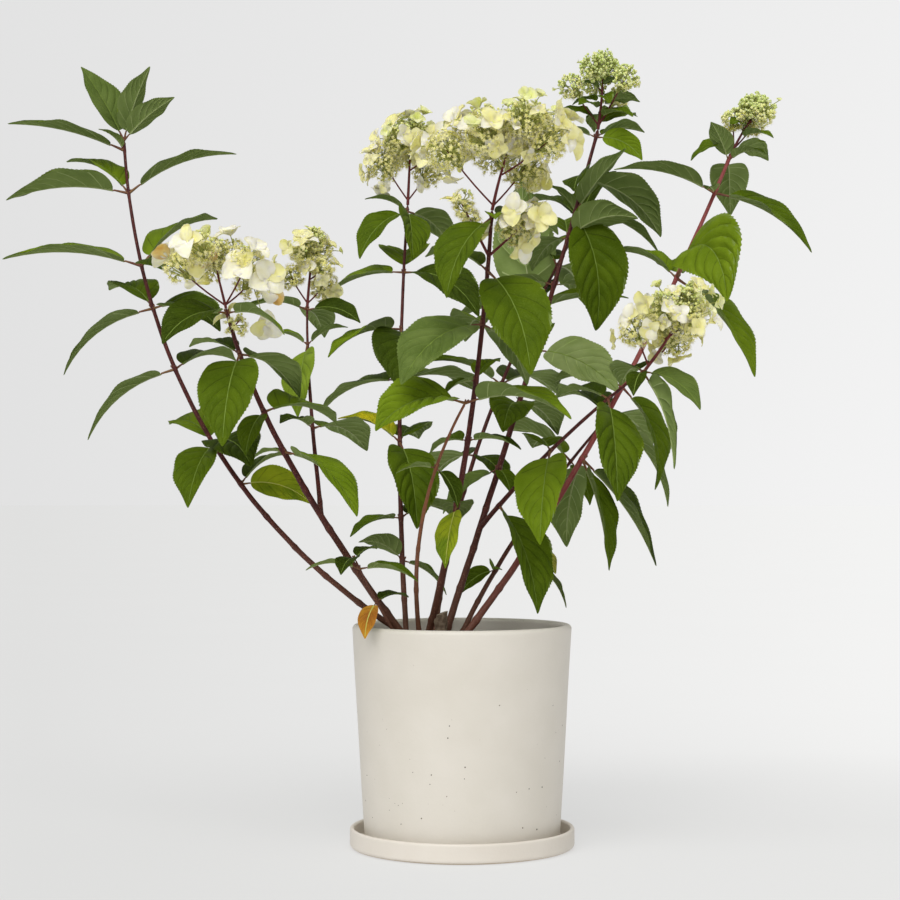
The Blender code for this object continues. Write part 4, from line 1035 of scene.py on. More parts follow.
@dataclass(frozen=True)
class BladeForm:
    """How a blade is shaped: pairs of veins that sweep forward, quilting between them and a toothed edge.

    Its twist is the most that it may turn along its length, in degrees. Each leaf folds and quilts by a share
    of the usual, and the paces are the waves along its left and its right edge, two for each.
    """

    pairs: int = 6
    first: float = 0.09
    last: float = 0.80
    forward: float = 0.80
    strip: float = 0.0036
    between: tuple[int, ...] = (16, 10, 6, 4, 2)
    base: tuple[float, ...] = (0.0, 0.002, 0.006, 0.014, 0.024, 0.036, 0.050, 0.066)
    tip: tuple[float, ...] = (0.84, 0.87, 0.90, 0.925, 0.95, 0.97, 0.985, 1.0)
    fractions: tuple[float, ...] = (0.0, 0.2, 0.42, 0.64, 0.84, 1.0)
    rib: float = 0.0008
    tooth: float = 0.0085
    quilt: float = 0.0260
    wave: float = 0.020
    thickness: float = 0.00045
    proud: float = 0.0004
    twist: float = 14.0
    folds: tuple[float, float] = (0.7, 1.3)
    quilts: tuple[float, float] = (0.6, 1.25)
    paces: tuple[float, ...] = (1.7, 3.1, 1.9, 2.8)

    def veins(self) -> Array:
        """Where the veins leave the midrib, as shares of the blade's length."""
        return np.linspace(self.first, self.last, self.pairs)

    def rows(self) -> tuple[Array, Array]:
        """Where the grid's rows leave the midrib, and whether the strip after each is a vein.

        Returns:
            Shares, (r,), and marks, (r - 1,).
        """
        veins = self.veins()
        edges = np.concatenate([veins - self.strip, veins + self.strip])
        gaps = [np.linspace(low, high, count + 2)[1:-1]
                for low, high, count in zip(veins, veins[1:], self.between)]
        rows = np.sort(np.concatenate([self.base, edges, *gaps, self.tip]))
        middle = (rows[1:] + rows[:-1]) / 2
        return rows, np.abs(middle[:, None] - veins).min(axis=1) < self.strip * 0.5

    def half_width(self, share: Array) -> Array:
        """Half width, 1 at the widest: the rule's, drawn in by 0.4 s^2 (3 - 2s) past 0.64 to a drip tip."""
        s = np.clip((share - 0.64) / 0.36, 0, 1)
        return blade_half_width(np.clip(share, 0, 1)) * (1 - 0.4 * s ** 2 * (3 - 2 * s))

    def grid(self, length: float) -> tuple[Array, Array, Array]:
        """The grid on the blade.

        A row that leaves the midrib at u is at share u + forward (1 - (1-u)^3)(1-u) g, where
        g = 0.7 a + 0.3 a^2 at a of the half width, so veins sweep forward more near the edge. The
        columns next to the midrib keep its width, and the others share out the rest.

        Args:
            length: the blade's length.

        Returns:
            For each point the row's u, its share of the length and its place across, each (rows, columns).
        """
        u = self.rows()[0][:, None]
        sweep_on = self.forward * (1 - (1 - u) ** 3) * (1 - u)
        half = self.half_width(u) * LEAF_HALF_WIDTH * length
        inner = np.minimum(self.rib * (1 - 0.6 * u) / np.maximum(half, 1e-6), 0.3)
        out = inner + (1 - inner) * np.array(self.fractions)
        side = np.concatenate([-out[:, ::-1], 0 * u, out], axis=1)
        a = np.abs(side)
        return u + 0 * side, u + sweep_on * (0.7 * a + 0.3 * a ** 2), side

    def points(self, leaf: GrownLeaf, rng: Rng) -> Array:
        """The corners of a leaf's blade.

        The plain folded blade of the growth rule, twisted a little along its length, bulging by
        sin(pi f)^0.65 between two veins a fraction f apart, with waves at its edge that grow as |a|^3 and
        teeth of every second row. The lower skin lies a thickness below, with the veins standing out.

        Args:
            leaf: the leaf in its place.
            rng: seeded numbers for what differs from leaf to leaf.

        Returns:
            The upper skin's corners, then the lower skin's, (2 * rows * columns, 3).
        """
        u, share, side = self.grid(leaf.length)
        a, size = np.abs(side), leaf.length
        phase = rng.uniform(0, 2 * pi, 4)
        twist = radians(rng.uniform(-self.twist, self.twist)) * share
        fold = LEAF_FOLD * rng.uniform(*self.folds)
        quilt = self.quilt * size * rng.uniform(*self.quilts)
        half = self.half_width(share) * LEAF_HALF_WIDTH * size
        body = np.sin(pi * np.clip(share, 0, 1)) ** 0.6
        edge, odd = a > 0.999, (np.arange(len(u)) % 2)[:, None]
        half = half + np.where(edge, self.tooth * size * body * (0.5 - odd), 0.0)
        share = share + np.where(edge, 0.010 * (0.5 - odd) * body, 0.0)
        steps = np.interp(u, np.concatenate([[0], self.veins(), [1]]), np.arange(-1, self.pairs + 1))
        bulge = np.sin(pi * (steps - np.floor(steps))) ** 0.65 * np.sin(pi * np.clip(a, 0, 1) ** 0.8) ** 0.7
        beats = [np.sin(2 * pi * pace * share + start) for pace, start in zip(self.paces, phase)]
        beat = np.where(side < 0, beats[0] + beats[1], beats[2] + beats[3])
        rise = (a * half * fold * (1 - 0.6 * share) + quilt * bulge * body
                + self.wave * 0.5 * size * beat * a ** 3 * body)
        flat = np.clip(share, 0, 1).ravel()
        _, across, face = leaf.frame(flat)
        across, face = rotated(across, face, twist.reshape(-1, 1))
        top = leaf.midrib(flat) + across * (side * half).reshape(-1, 1) + face * rise.reshape(-1, 1)
        on_vein = np.abs(u[..., None] - self.veins()).min(axis=-1) < self.strip * 1.5
        proud = np.where(on_vein & (a < 0.9), 1 - a, 0.0) * self.proud + np.where(a < 0.06, self.proud, 0.0)
        return np.vstack([top, top - face * (self.thickness + proud).reshape(-1, 1)])

    def finishes(self, marks: Array, tint: Tint) -> Array:
        """The palette's number of each triangle: blade or vein, above or below.

        Args:
            marks: skin, row and column of each triangle.
            tint: the leaf's colour.

        Returns:
            The numbers, (m,).
        """
        skin, row, column = marks.T
        strips, last = self.rows()[1], 2 * len(self.fractions) - 1
        rib = (np.abs(column - last / 2) < 1) & (row < len(strips) - 4)
        vein = (strips[row] & (column > 0) & (column < last)) | rib
        count, yellow = len(Tint), tint in YELLOWING
        # Sunken veins above take the tint's vein finish: painted shade, but lighter on the palest leaves.
        furrow = count + len(Vein) + tint.number
        above = np.where(rib, count + Vein.RIB.number + yellow, np.where(vein, furrow, tint.number))
        below = np.where(vein, count + Vein.BELOW.number, count + Vein.UNDERSIDE.number + yellow)
        return np.where(skin == 0, above, below)

    def build(self, name: str, leaves: Sequence[tuple[GrownLeaf, Tint]], rng: Rng, *stands_for: str) -> None:
        """Builds blades of this form, each with its colour, as one piece."""
        surface = Surface(name, LEAF_PALETTE)
        faces, marks = Sheet(len(self.rows()[0]), 2 * len(self.fractions) + 1).faces()
        for leaf, tint in leaves:
            surface.add(self.points(leaf, rng), faces, self.finishes(marks, tint))
        surface.piece("foliage", *stands_for)


@dataclass
class Foliage:
    """The leaves of one stem: toothed, veined blades and their stalks."""

    stem: Stem
    leaves: list[GrownLeaf]
    form: BladeForm = BladeForm()
    green_shares: tuple[float, ...] = (0.42, 0.38, 0.20)
    stalk_radius: float = 0.00155
    rib_radius: float = 0.0009
    sides: int = 6

    def build_blades(self, rng: Rng) -> None:
        """Builds the blades, which stand for the stem's leafy mass.

        A leaf has its own colour where the table gives one, else one of three greens by chance.
        """
        greens = (Tint.DEEP, Tint.GREEN, Tint.BRIGHT)
        chosen = rng.choice(3, len(self.leaves), p=self.green_shares)
        tinted = [(leaf, leaf.tint or greens[number]) for leaf, number in zip(self.leaves, chosen)]
        self.form.build("blades_" + self.stem.name, tinted, rng, "leaves_" + self.stem.name)

    def build_stalks(self) -> None:
        """Builds the leaf stalks, each running on below its blade as the midrib, as one piece.

        The path goes straight from the stem's axis to the blade, then follows the midrib a little below it.
        """
        surface = Surface("leaf_stalks_" + self.stem.name, STALK_PALETTE)
        stalk, rib = np.linspace(0, 0.92, 5), np.linspace(0, 0.93, 9)
        paths, radii = [], []
        for leaf in self.leaves:
            foot = leaf.midrib(np.zeros(1))[0]
            straight = leaf.root + (foot - leaf.root) * stalk[:, None]
            sag = self.form.thickness + self.rib_radius * 0.55 * (1 - 0.7 * rib[:, None])
            paths.append(np.vstack([straight, leaf.midrib(rib) - leaf.frame(rib)[2] * sag]))
            thick = sqrt(leaf.length / LEAF_LENGTH)
            radii.append(np.concatenate([self.stalk_radius * (1.25 - 0.55 * stalk),
                                         self.rib_radius * (1.15 - 0.85 * rib)]) * thick)
        faces = tube_triangles(len(stalk) + len(rib), self.sides)
        finish = (faces.min(axis=1) // self.sides >= len(stalk)).astype(int)
        surface.add(sweep(np.array(paths), np.array(radii), self.sides), faces, finish)
        surface.piece("foliage")


# Wood

@dataclass
class Wood:
    """A stem in the round: nodes where leaves stand or stood, low ridges, old knobby wood at its foot."""

    stem: Stem
    skin: Skin
    step: float = 0.003
    sides: int = 14
    node_width: float = 0.0034
    node_swell: float = 0.20
    bare_spacing: float = 0.052
    lowest_node: float = 0.012
    sunk: float = 0.02
    end_share: float = 0.3
    bud: float = 0.0026
    bud_out: float = 1.1
    bud_up: float = 0.0028

    def length(self) -> float:
        """Length along the stem's curve."""
        return float(np.linalg.norm(np.diff(stem_at(self.stem, np.linspace(0, 1, 60)), axis=0), axis=1).sum())

    def nodes(self) -> Array:
        """Distances along the stem of its nodes: the whorls', and bare ones evenly below the first."""
        whorls = np.array([whorl[0] for whorl in self.stem.whorls]) * self.length()
        bare = np.arange(whorls[0] - self.bare_spacing, self.lowest_node, -self.bare_spacing)
        return np.concatenate([bare, whorls])

    def rings(self) -> tuple[Array, Array]:
        """The stem's path and radii.

        The radius is the rule's times 1 + a bell at each node + two low waves round the stem, and it grows
        at the foot: radius (1 + swell exp(-(d/width)^2) + 0.05 sin(3a + 60d) + 0.03 sin(5a - 140d + 1)).

        Returns:
            Points, (1, rings, 3), and a radius for each point of each ring, (1, rings, sides).
        """
        length = self.length()
        start = 0.0 if self.stem.fork else -self.sunk / length
        shares = np.linspace(start, 1.0, max(int(length / self.step), 8))
        reach = shares[:, None] * length
        angle = evenly(self.sides)
        bells = np.exp(-((reach - self.nodes()) / self.node_width) ** 2).sum(axis=1, keepdims=True)
        foot = np.exp(-np.clip(reach, 0, None) / (0.006 if self.stem.fork else 0.03))
        ridges = 0.05 * np.sin(3 * angle + 60 * reach) + 0.03 * np.sin(5 * angle - 140 * reach + 1)
        knobs = 0.10 * np.sin(2 * angle + 300 * reach) * foot
        radius = stem_radius(self.stem, shares)[:, None] * (1 + self.node_swell * bells + ridges + knobs
                                                           + 0.08 * foot)
        radius[-1] *= self.end_share
        return stem_at(self.stem, shares)[None], radius[None]

    def build(self) -> None:
        """Builds the stem with a pointed bud over each leaf's root, as the piece that stands for the limb."""
        surface = Surface("wood_" + self.stem.name, Skin.finishes())
        surface.tubes(*self.rings(), self.sides, self.skin.number)
        shares = np.array([whorl[0] for whorl in self.stem.whorls for _ in whorl[1:]])
        turns = np.radians([leaf.turn for whorl in self.stem.whorls for leaf in whorl[1:]])
        out = polar(turns)
        radius = stem_radius(self.stem, shares)[:, None]
        heading = unit(stem_at(self.stem, shares + 0.01) - stem_at(self.stem, shares - 0.01))
        places = stem_at(self.stem, shares) + out * radius * self.bud_out + heading * self.bud_up
        surface.scatter(ball((0.5, 0.5, 1.15)), places, unit(out * 0.5 + heading), turns,
                        0 * turns + self.bud, Skin.BUD.number)
        surface.piece("bark", "stem_" + self.stem.name)


@dataclass
class CutStub:
    """A stump of old wood left in the pot where an earlier stem was cut, knobby, with a slanting cut.

    A knob is its height as a share of the radius, its place and width along the stub and its turn round it.
    """

    radius: float = 0.0078
    sunk: float = 0.012
    rings: int = 34
    sides: int = 24
    slant: float = 0.5
    knobs: tuple[tuple[float, ...], ...] = ((0.16, 0.50, 0.09, 1), (0.14, 0.80, 0.06, 4))

    def build(self) -> None:
        """Builds the stub: a swept round with two knobs, and a cut face that slants to one side."""
        surface = Surface("cut_stub", Skin.finishes())
        t, angle = np.linspace(0, 1, self.rings)[:, None], evenly(self.sides)
        share = (t * (STUB_HEIGHT + self.sunk) - self.sunk) / STUB_HEIGHT
        path = np.array([*STUB_FOOT, SOIL_TOP]) + share * np.array([*STUB_LEAN, STUB_HEIGHT])
        path[:, 0] += 0.0010 * np.sin(5 * t[:, 0])
        knobs = sum(high * np.exp(-((t - at) / wide) ** 2) * (1 + np.cos(angle - turn))
                    for high, at, wide, turn in self.knobs)
        ridges = 0.05 * np.sin(4 * angle + 9 * t), 0.04 * np.sin(7 * angle - 22 * t)
        radius = self.radius * (1.05 - 0.22 * t + (knobs + ridges[0] + ridges[1]))
        points = sweep(path[None], radius[None], self.sides).reshape(self.rings, self.sides, 3)
        points[-4:, :, 2] += self.slant * (points[-4:, :, 0] - path[-1, 0])
        faces = tube_triangles(self.rings, self.sides)
        cut = faces.min(axis=1) >= (self.rings - 1) * self.sides
        surface.add(points.reshape(1, -1, 3), faces, np.where(cut, Skin.CUT.number, Skin.OLD.number))
        surface.piece("bark", "stem_stub")


# Flower heads

@dataclass(frozen=True)
class HeadLook:
    """How full and how ripe a flower head is."""

    density: float
    open_to: float
    florets: int
    sepal: float
    young_from: float = 0.7
    spent: float = 0.0
    bracts: int = 0
    droop: float = 0.0
    ivory: float = 0.45


LOOKS = {
    "left_flower": HeadLook(0.34, 0.85, 6, 0.0240, 0.95, 0.12, droop=1.1, ivory=0.85),
    "left_back": HeadLook(0.58, 0.7, 18, 0.0150, 0.82),
    "centre_left": HeadLook(0.46, 0.62, 34, 0.0172, 0.80),
    "centre": HeadLook(0.38, 0.78, 44, 0.0175, 0.84, ivory=0.35),
    "tall": HeadLook(0.60, 0.15, 8, 0.0070, 0.0, 0.0, 11),
    "right_flower": HeadLook(0.46, 0.6, 26, 0.0150, 0.80, ivory=0.35),
    "far_right": HeadLook(0.70, 0.3, 5, 0.0075, 0.0, 0.0, 6),
}
SPRIG_LOOK = HeadLook(0.42, 0.8, 1, 0.0150, 0.95)
BRACT_FORM = BladeForm(pairs=5, base=(0.0, 0.006, 0.02, 0.045), between=(4, 3, 2, 1), tip=(0.87, 0.93, 1.0),
                       fractions=(0.0, 0.35, 0.7, 1.0), rib=0.0004, wave=0.05, thickness=0.0003)


@dataclass
class FlowerHead:
    """A panicle: branches that end in clusters of small flowers and buds, with showy florets round them.

    The tufts of a cluster are a number for each square millimetre of its radius squared. Depths, lengths and
    sizes in pairs are shares, between which chance picks one.
    """

    panicle: Panicle
    foot: Array
    branches: list[Branch]
    florets: list[ShowyFloret]
    look: HeadLook
    tufts: float = 0.055
    axis_widths: tuple[float, float] = (0.0020, 0.0009)
    arm_widths: tuple[float, float] = (0.0011, 0.0008)
    pedicel: float = 0.00024
    twig: float = 0.00055
    floret_stalk: float = 0.0005
    star_size: float = 0.0028
    bud_size: float = 0.00175
    middle_bud: float = 0.0013
    hub_depth: float = 0.5
    fork_back: float = 0.35
    stalk_lengths: tuple[float, float] = (0.34, 0.64)
    star_sizes: tuple[float, float] = (0.85, 1.15)
    bud_sizes: tuple[float, float] = (0.75, 1.2)
    floret_sizes: tuple[float, float] = (0.65, 1.2)
    young_size: float = 0.72
    sepal_rows: tuple[float, ...] = (0.0, 0.10, 0.30, 0.55, 0.78, 0.93, 1.0)
    sepal_columns: tuple[float, ...] = (-1.0, -0.5, 0.0, 0.5, 1.0)
    sepal_lift: float = radians(16)
    sepal_thickness: float = 0.022

    def height_of(self, places: Array) -> Array:
        """How high places are in the head, 0 at its lowest cluster and 1 at its top."""
        low = min(branch.end[2] - branch.lump for branch in self.branches)
        high = max(branch.end[2] + branch.lump for branch in self.branches)
        return (places[:, 2] - low) / max(high - low, 1e-6)

    @staticmethod
    def spread(count: int, rng: Rng) -> Array:
        """Directions spread evenly over a ball at the golden turn, each pushed aside a little by chance."""
        k = np.arange(count)
        z = 1 - 2 * (k + 0.5) / count
        even = polar(k * GOLDEN_TURN + rng.uniform(0, 2 * pi), np.sqrt(1 - z ** 2), z)
        return unit(even + rng.normal(0, CHANCE, (count, 3)))

    def add_axis(self, stalks: Surface, along: Array) -> None:
        """Adds the head's axis and the branches to its clusters, each a little curved."""
        axis = np.array(self.panicle.axis)
        red, green = Bloom.RED_STALK.number, Bloom.GREEN_STALK.number
        t = np.linspace(0, 0.96, 12)[:, None]
        bend = along * 0.012 * np.sin(pi * t) * (1 - t)
        width = np.linspace(*self.axis_widths, 12) * sqrt(np.linalg.norm(axis) / 0.1)
        stalks.tubes((self.foot + axis * t + bend)[None], width[None], 8, red)
        starts = np.array([branch.start for branch in self.branches])
        ends = np.array([branch.end for branch in self.branches])
        t = np.linspace(0, 1, 6)[None, :, None]
        sag = np.array([0, 0, -0.03]) * np.sin(pi * t) * np.linalg.norm(ends - starts, axis=1)[:, None, None]
        paths = starts[:, None] + (ends - starts)[:, None] * t + sag
        arm = np.arange(len(ends)) < self.panicle.arms + 1
        stalks.tubes(paths, np.tile(np.linspace(*self.arm_widths, 6), (len(ends), 1)), 6,
                     np.where(arm, red, green)[:, None])

    def add_cluster(self, stalks: Surface, flowers: Surface, branch: Branch, rng: Rng) -> None:
        """Adds one cluster: twigs from the branch to hubs, and from each hub a tuft of flowers on stalks.

        The hubs lie half way out in the cluster, and their number grows with the square of its radius. A
        stalk goes along its hub's direction plus 0.8 of one at random. Flowers low in the head are open and
        the top ones are buds, smaller and greener with height.

        Args:
            stalks: where the twigs and stalks go.
            flowers: where the small flowers and buds go.
            branch: the branch that carries the cluster.
            rng: seeded numbers.
        """
        count = max(int(self.look.density * (branch.lump * 1000) ** 2), 8)
        tufts = max(int(self.tufts * (branch.lump * 1000) ** 2), 5)
        out = self.spread(tufts, rng)
        hubs = branch.end + out * branch.lump * self.hub_depth
        own = np.arange(count) % tufts
        axes = unit(out[own] + 0.8 * rng.permutation(self.spread(count, rng)))
        places = hubs[own] + axes * branch.lump * rng.uniform(*self.stalk_lengths, (count, 1))
        fork = branch.end + (branch.start - branch.end) * self.fork_back
        green = Bloom.GREEN_STALK.number
        stalks.tubes(np.stack([np.tile(fork, (tufts, 1)), hubs], axis=1),
                     np.tile([self.twig * 1.2, self.twig], (tufts, 1)), 4, green)
        stalks.tubes(np.stack([hubs[own], places], axis=1),
                     np.tile([self.pedicel * 1.3, self.pedicel], (count, 1)), 3, green)
        height = self.height_of(places) + rng.normal(0, CHANCE, count)
        opened = height < self.look.open_to
        turns = rng.uniform(0, 2 * pi, count)
        for shape, kind in ((star(), Bloom.STAR), (stamens(), Bloom.STAMEN)):
            flowers.scatter(shape, places[opened], axes[opened], turns[opened],
                            self.star_size * rng.uniform(*self.star_sizes, opened.sum()), kind.number)
        closed = ~opened
        sizes = self.bud_size * rng.uniform(*self.bud_sizes, count) * np.clip(1.25 - 0.35 * height, 0.7, 1.2)
        pale = height + rng.normal(0, 0.15, count) < self.look.open_to + 0.25
        kinds = np.where(pale, Bloom.CREAM_BUD.number, Bloom.GREEN_BUD.number)
        flowers.scatter(ball(), places[closed], axes[closed], turns[closed], sizes[closed],
                        kinds[closed][:, None])

    def all_florets(self, rng: Rng) -> list[ShowyFloret]:
        """The rule's showy florets and more by chance, kept a sepal's length apart where there is room."""
        found = list(self.florets)
        middle = self.foot + np.array(self.panicle.axis) * HEAD_MIDDLE
        weights = np.array([branch.lump ** 2 for branch in self.branches])
        for _ in range(self.look.florets * 12):
            if len(found) >= self.look.florets + len(self.florets):
                break
            branch = self.branches[rng.choice(len(self.branches), p=weights / weights.sum())]
            aside = rng.normal(0, 0.45, 3) + (0.0, -0.25, 0.0)
            out = unit(branch.end - middle + aside * self.panicle.reach)
            place = branch.end + out * branch.lump * rng.uniform(0.85, 1.15 if out[2] > 0.6 else 1.7)
            place[2] -= self.look.droop * branch.lump
            if all(np.linalg.norm(place - other.middle) > self.look.sepal * 0.85 for other in found):
                facing = unit(out + (0.0, -0.3 - self.look.droop, 0.25) + rng.normal(0, 0.3, 3))
                found.append(ShowyFloret(branch.end, place, facing, 0.0))
        return found

    def add_showy(self, stalks: Surface, sepals: Surface, flowers: Surface, rng: Rng) -> None:
        """Adds the showy florets: four cupped sepals round a small bud, on a thin stalk.

        A sepal's half width is 0.50 sin(pi t^0.9)^0.5 of its length. It cups by 0.30 v^2 of that and by
        0.1 sin(pi t), its tip turns back by curl t^3, and it ripples by t sin(2 pi (0.9t + 0.35v)).

        Args:
            stalks: where the floret stalks go.
            sepals: where the sepals go.
            flowers: where the middle buds go.
            rng: seeded numbers.
        """
        every = self.all_florets(rng)
        if not every:
            return
        count = len(every)
        start, middle, facing = (np.array([getattr(floret, part) for floret in every])
                                 for part in ("start", "middle", "facing"))
        height = self.height_of(middle) + rng.normal(0, CHANCE, count)
        young = height > self.look.young_from
        own = np.array([floret.size for floret in every])
        size = np.where(own > 0, own * 1.05, self.look.sepal * rng.uniform(*self.floret_sizes, count))
        size = size * np.where(young, self.young_size, 1.0)
        t, v = np.meshgrid(self.sepal_rows, self.sepal_columns, indexing="ij")
        half = 0.50 * np.sin(pi * t ** 0.90) ** 0.50
        cup = 0.30 * v ** 2 * half + 0.10 * np.sin(pi * t)
        faces, _ = Sheet(*t.shape).faces()
        side = unit(np.cross(steady_axis(facing), facing))
        up = np.cross(facing, side)
        spin = rng.uniform(0, 2 * pi, count)
        for k in range(4):
            angle = spin + pi / 2 * k + rng.normal(0, CHANCE, count)
            flat, _ = rotated(side, up, angle[:, None])
            tilt = self.sepal_lift + rng.normal(0, 0.16, count) + np.where(young, 0.35, 0.0) + 0.08 * (k % 2)
            along, normal = rotated(flat, facing, tilt[:, None])
            frames = np.stack([along, np.cross(normal, along), normal], axis=1)
            long = size * rng.uniform(0.85, 1.12, count) * (1.0 if k % 2 else 0.92)
            wide, curl, ripple, phase = rng.uniform((0.82, -0.02, 0.02, 0), (1.12, 0.26, 0.09, 2 * pi),
                                                    (count, 4)).T[:, :, None, None]
            rise = cup * wide - curl * t ** 3 + ripple * t * np.sin(2 * pi * (0.9 * t + 0.35 * v) + phase)
            top = np.stack([t + 0 * rise, v * half * wide, rise], axis=-1)
            shape = np.concatenate([top, top - (0, 0, self.sepal_thickness)], axis=1).reshape(count, -1, 3)
            draw = rng.uniform(0, 1, count)
            kind = np.select([young, draw < self.look.spent, draw < self.look.ivory],
                             [Bloom.YOUNG.number, Bloom.SPENT.number, Bloom.IVORY.number], Bloom.CREAM.number)
            sepals.add(middle[:, None] + long[:, None, None] * (shape @ frames), faces, kind[:, None])
        flowers.scatter(ball(), middle + facing * 0.0008, facing, spin, 0 * spin + self.middle_bud,
                        Bloom.CREAM_BUD.number)
        lines = np.stack([start, (start + middle) / 2 + (0, 0, 0.001), middle - facing * 0.0004], axis=1)
        stalks.tubes(lines, np.tile(self.floret_stalk * np.array([1.2, 1.0, 1.0]), (count, 1)), 4,
                     Bloom.GREEN_STALK.number)

    def bracts(self, rng: Rng) -> list[tuple[GrownLeaf, Tint]]:
        """Small leaves among the branches, larger low down, with their colour."""
        axis = np.array(self.panicle.axis)
        found = []
        for k in range(self.look.bracts):
            height = k / max(self.look.bracts - 1, 1)
            root = self.foot + axis * (0.04 + 0.56 * height)
            found.append((GrownLeaf(root, np.degrees(k * GOLDEN_TURN) + 40, rng.uniform(5, 45), 60,
                                    (0.064 - 0.040 * height) * rng.uniform(0.85, 1.1), rng.uniform(-30, 30)),
                          Tint.GREEN))
        return found

    def build_into(self, stalks: Surface, flowers: Surface, sepals: Surface, along: Array, rng: Rng) -> None:
        """Adds the whole head to the three pieces of its stem."""
        self.add_axis(stalks, along)
        for branch in self.branches:
            self.add_cluster(stalks, flowers, branch, rng)
        self.add_showy(stalks, sepals, flowers, rng)


@dataclass
class Inflorescence:
    """The flower head of a stem with its side sprigs, as three pieces: stalks, small flowers and sepals."""

    stem: Stem
    head: tuple
    sprigs: list[tuple]

    def build(self, rng: Rng) -> None:
        """Builds the pieces, and small leaves among the branches where the head has them."""
        name = self.stem.name
        look = LOOKS[name]
        surfaces = [Surface(f"{kind}_{name}", Bloom.finishes())
                    for kind in ("flower_stalks", "small_flowers", "sepals")]
        ends = stem_at(self.stem, [0.99, 1.0])
        head = FlowerHead(*self.head, look)
        head.build_into(*surfaces, unit(ends[1] - ends[0]), rng)
        for sprig in self.sprigs:
            side = replace(SPRIG_LOOK, florets=sprig[0].showy + 1, sepal=look.sepal, spent=look.spent)
            FlowerHead(*sprig, side).build_into(*surfaces, unit(np.array(sprig[0].axis)), rng)
        slot = "blossom" if self.stem.head.showy else "green_buds"
        for surface, nodes in zip(surfaces, ((), ("flowers_" + name,), ())):
            surface.piece(slot, *nodes)
        if look.bracts:
            BRACT_FORM.build("bracts_" + name, head.bracts(rng), rng)


# Pot, saucer and soil

def hand(angle: Array, height: Array, wobble: float) -> Array:
    """The unevenness of the maker's hand: wobble (sin(3a + 1 + 20z) + sin(7a - 35z) / 2)."""
    return wobble * (np.sin(3 * angle + 1 + 20 * height) + 0.5 * np.sin(7 * angle - 35 * height))


def turned(profile: Array, steps: int, closed: bool, wobble: float = 0.0) -> tuple[Array, Array, Array]:
    """A turned shape: each profile point goes round the axis, a little uneven.

    Args:
        profile: radius and height of each point, down the outer side, (n, 2).
        steps: points round the axis.
        closed: whether the profile's end meets its start, as it does round a hole.
        wobble: the unevenness in metres.

    Returns:
        Points, (n * steps, 3), triangles, (m, 3), and the profile point above each triangle, (m,).
    """
    angle = evenly(steps)
    radius, height = profile[:, :1], profile[:, 1:]
    points = polar(angle, radius + hand(angle, height, wobble) * (radius > 1e-6), height)
    ids = np.arange(len(profile) * steps).reshape(-1, steps)
    poles = profile[:, 0] < 1e-6
    ids[poles] = ids[poles][:, :1]
    above, below = (ids, np.roll(ids, -1, 0)) if closed else (ids[:-1], ids[1:])
    quads = np.stack([above, below, np.roll(below, -1, 1), np.roll(above, -1, 1)], axis=-1)
    row = np.tile(np.repeat(np.arange(len(above)), steps), 2)
    return points.reshape(-1, 3), halves(quads.reshape(-1, 4)), row


def arc(middle: tuple[float, float], radius: float, start: float, end: float, count: int) -> Array:
    """Points of a round edge in a profile, between two angles in degrees, (count, 2)."""
    return np.array(middle) + radius * polar(np.radians(np.linspace(start, end, count)))[:, :2]


def run(start: tuple[float, float], end: tuple[float, float], count: int) -> Array:
    """Points along a straight stretch of a profile, without its two ends, (count, 2)."""
    t = np.linspace(0, 1, count + 2)[1:-1, None]
    return np.array(start) + (np.array(end) - np.array(start)) * t


@dataclass
class Pottery:
    """A glazed shape turned from a profile, with a ring of bare clay where it stands."""

    node: str
    glaze: Finish
    stands_at: float
    wobble: float
    edge: float = 0.004
    bare: float = 0.0022

    def build(self, profile: Array, closed: bool) -> None:
        """Builds the shape as the piece that stands for its node."""
        points, faces, row = turned(profile, TURN_STEPS, closed, self.wobble)
        low = (profile[row, 1] < self.stands_at + self.bare) & (profile[row, 0] > 0)
        surface = Surface(self.node + "_body", (self.glaze, BARE_CLAY))
        surface.add(points, faces, low.astype(int))
        surface.piece(self.node + "_glaze", self.node)


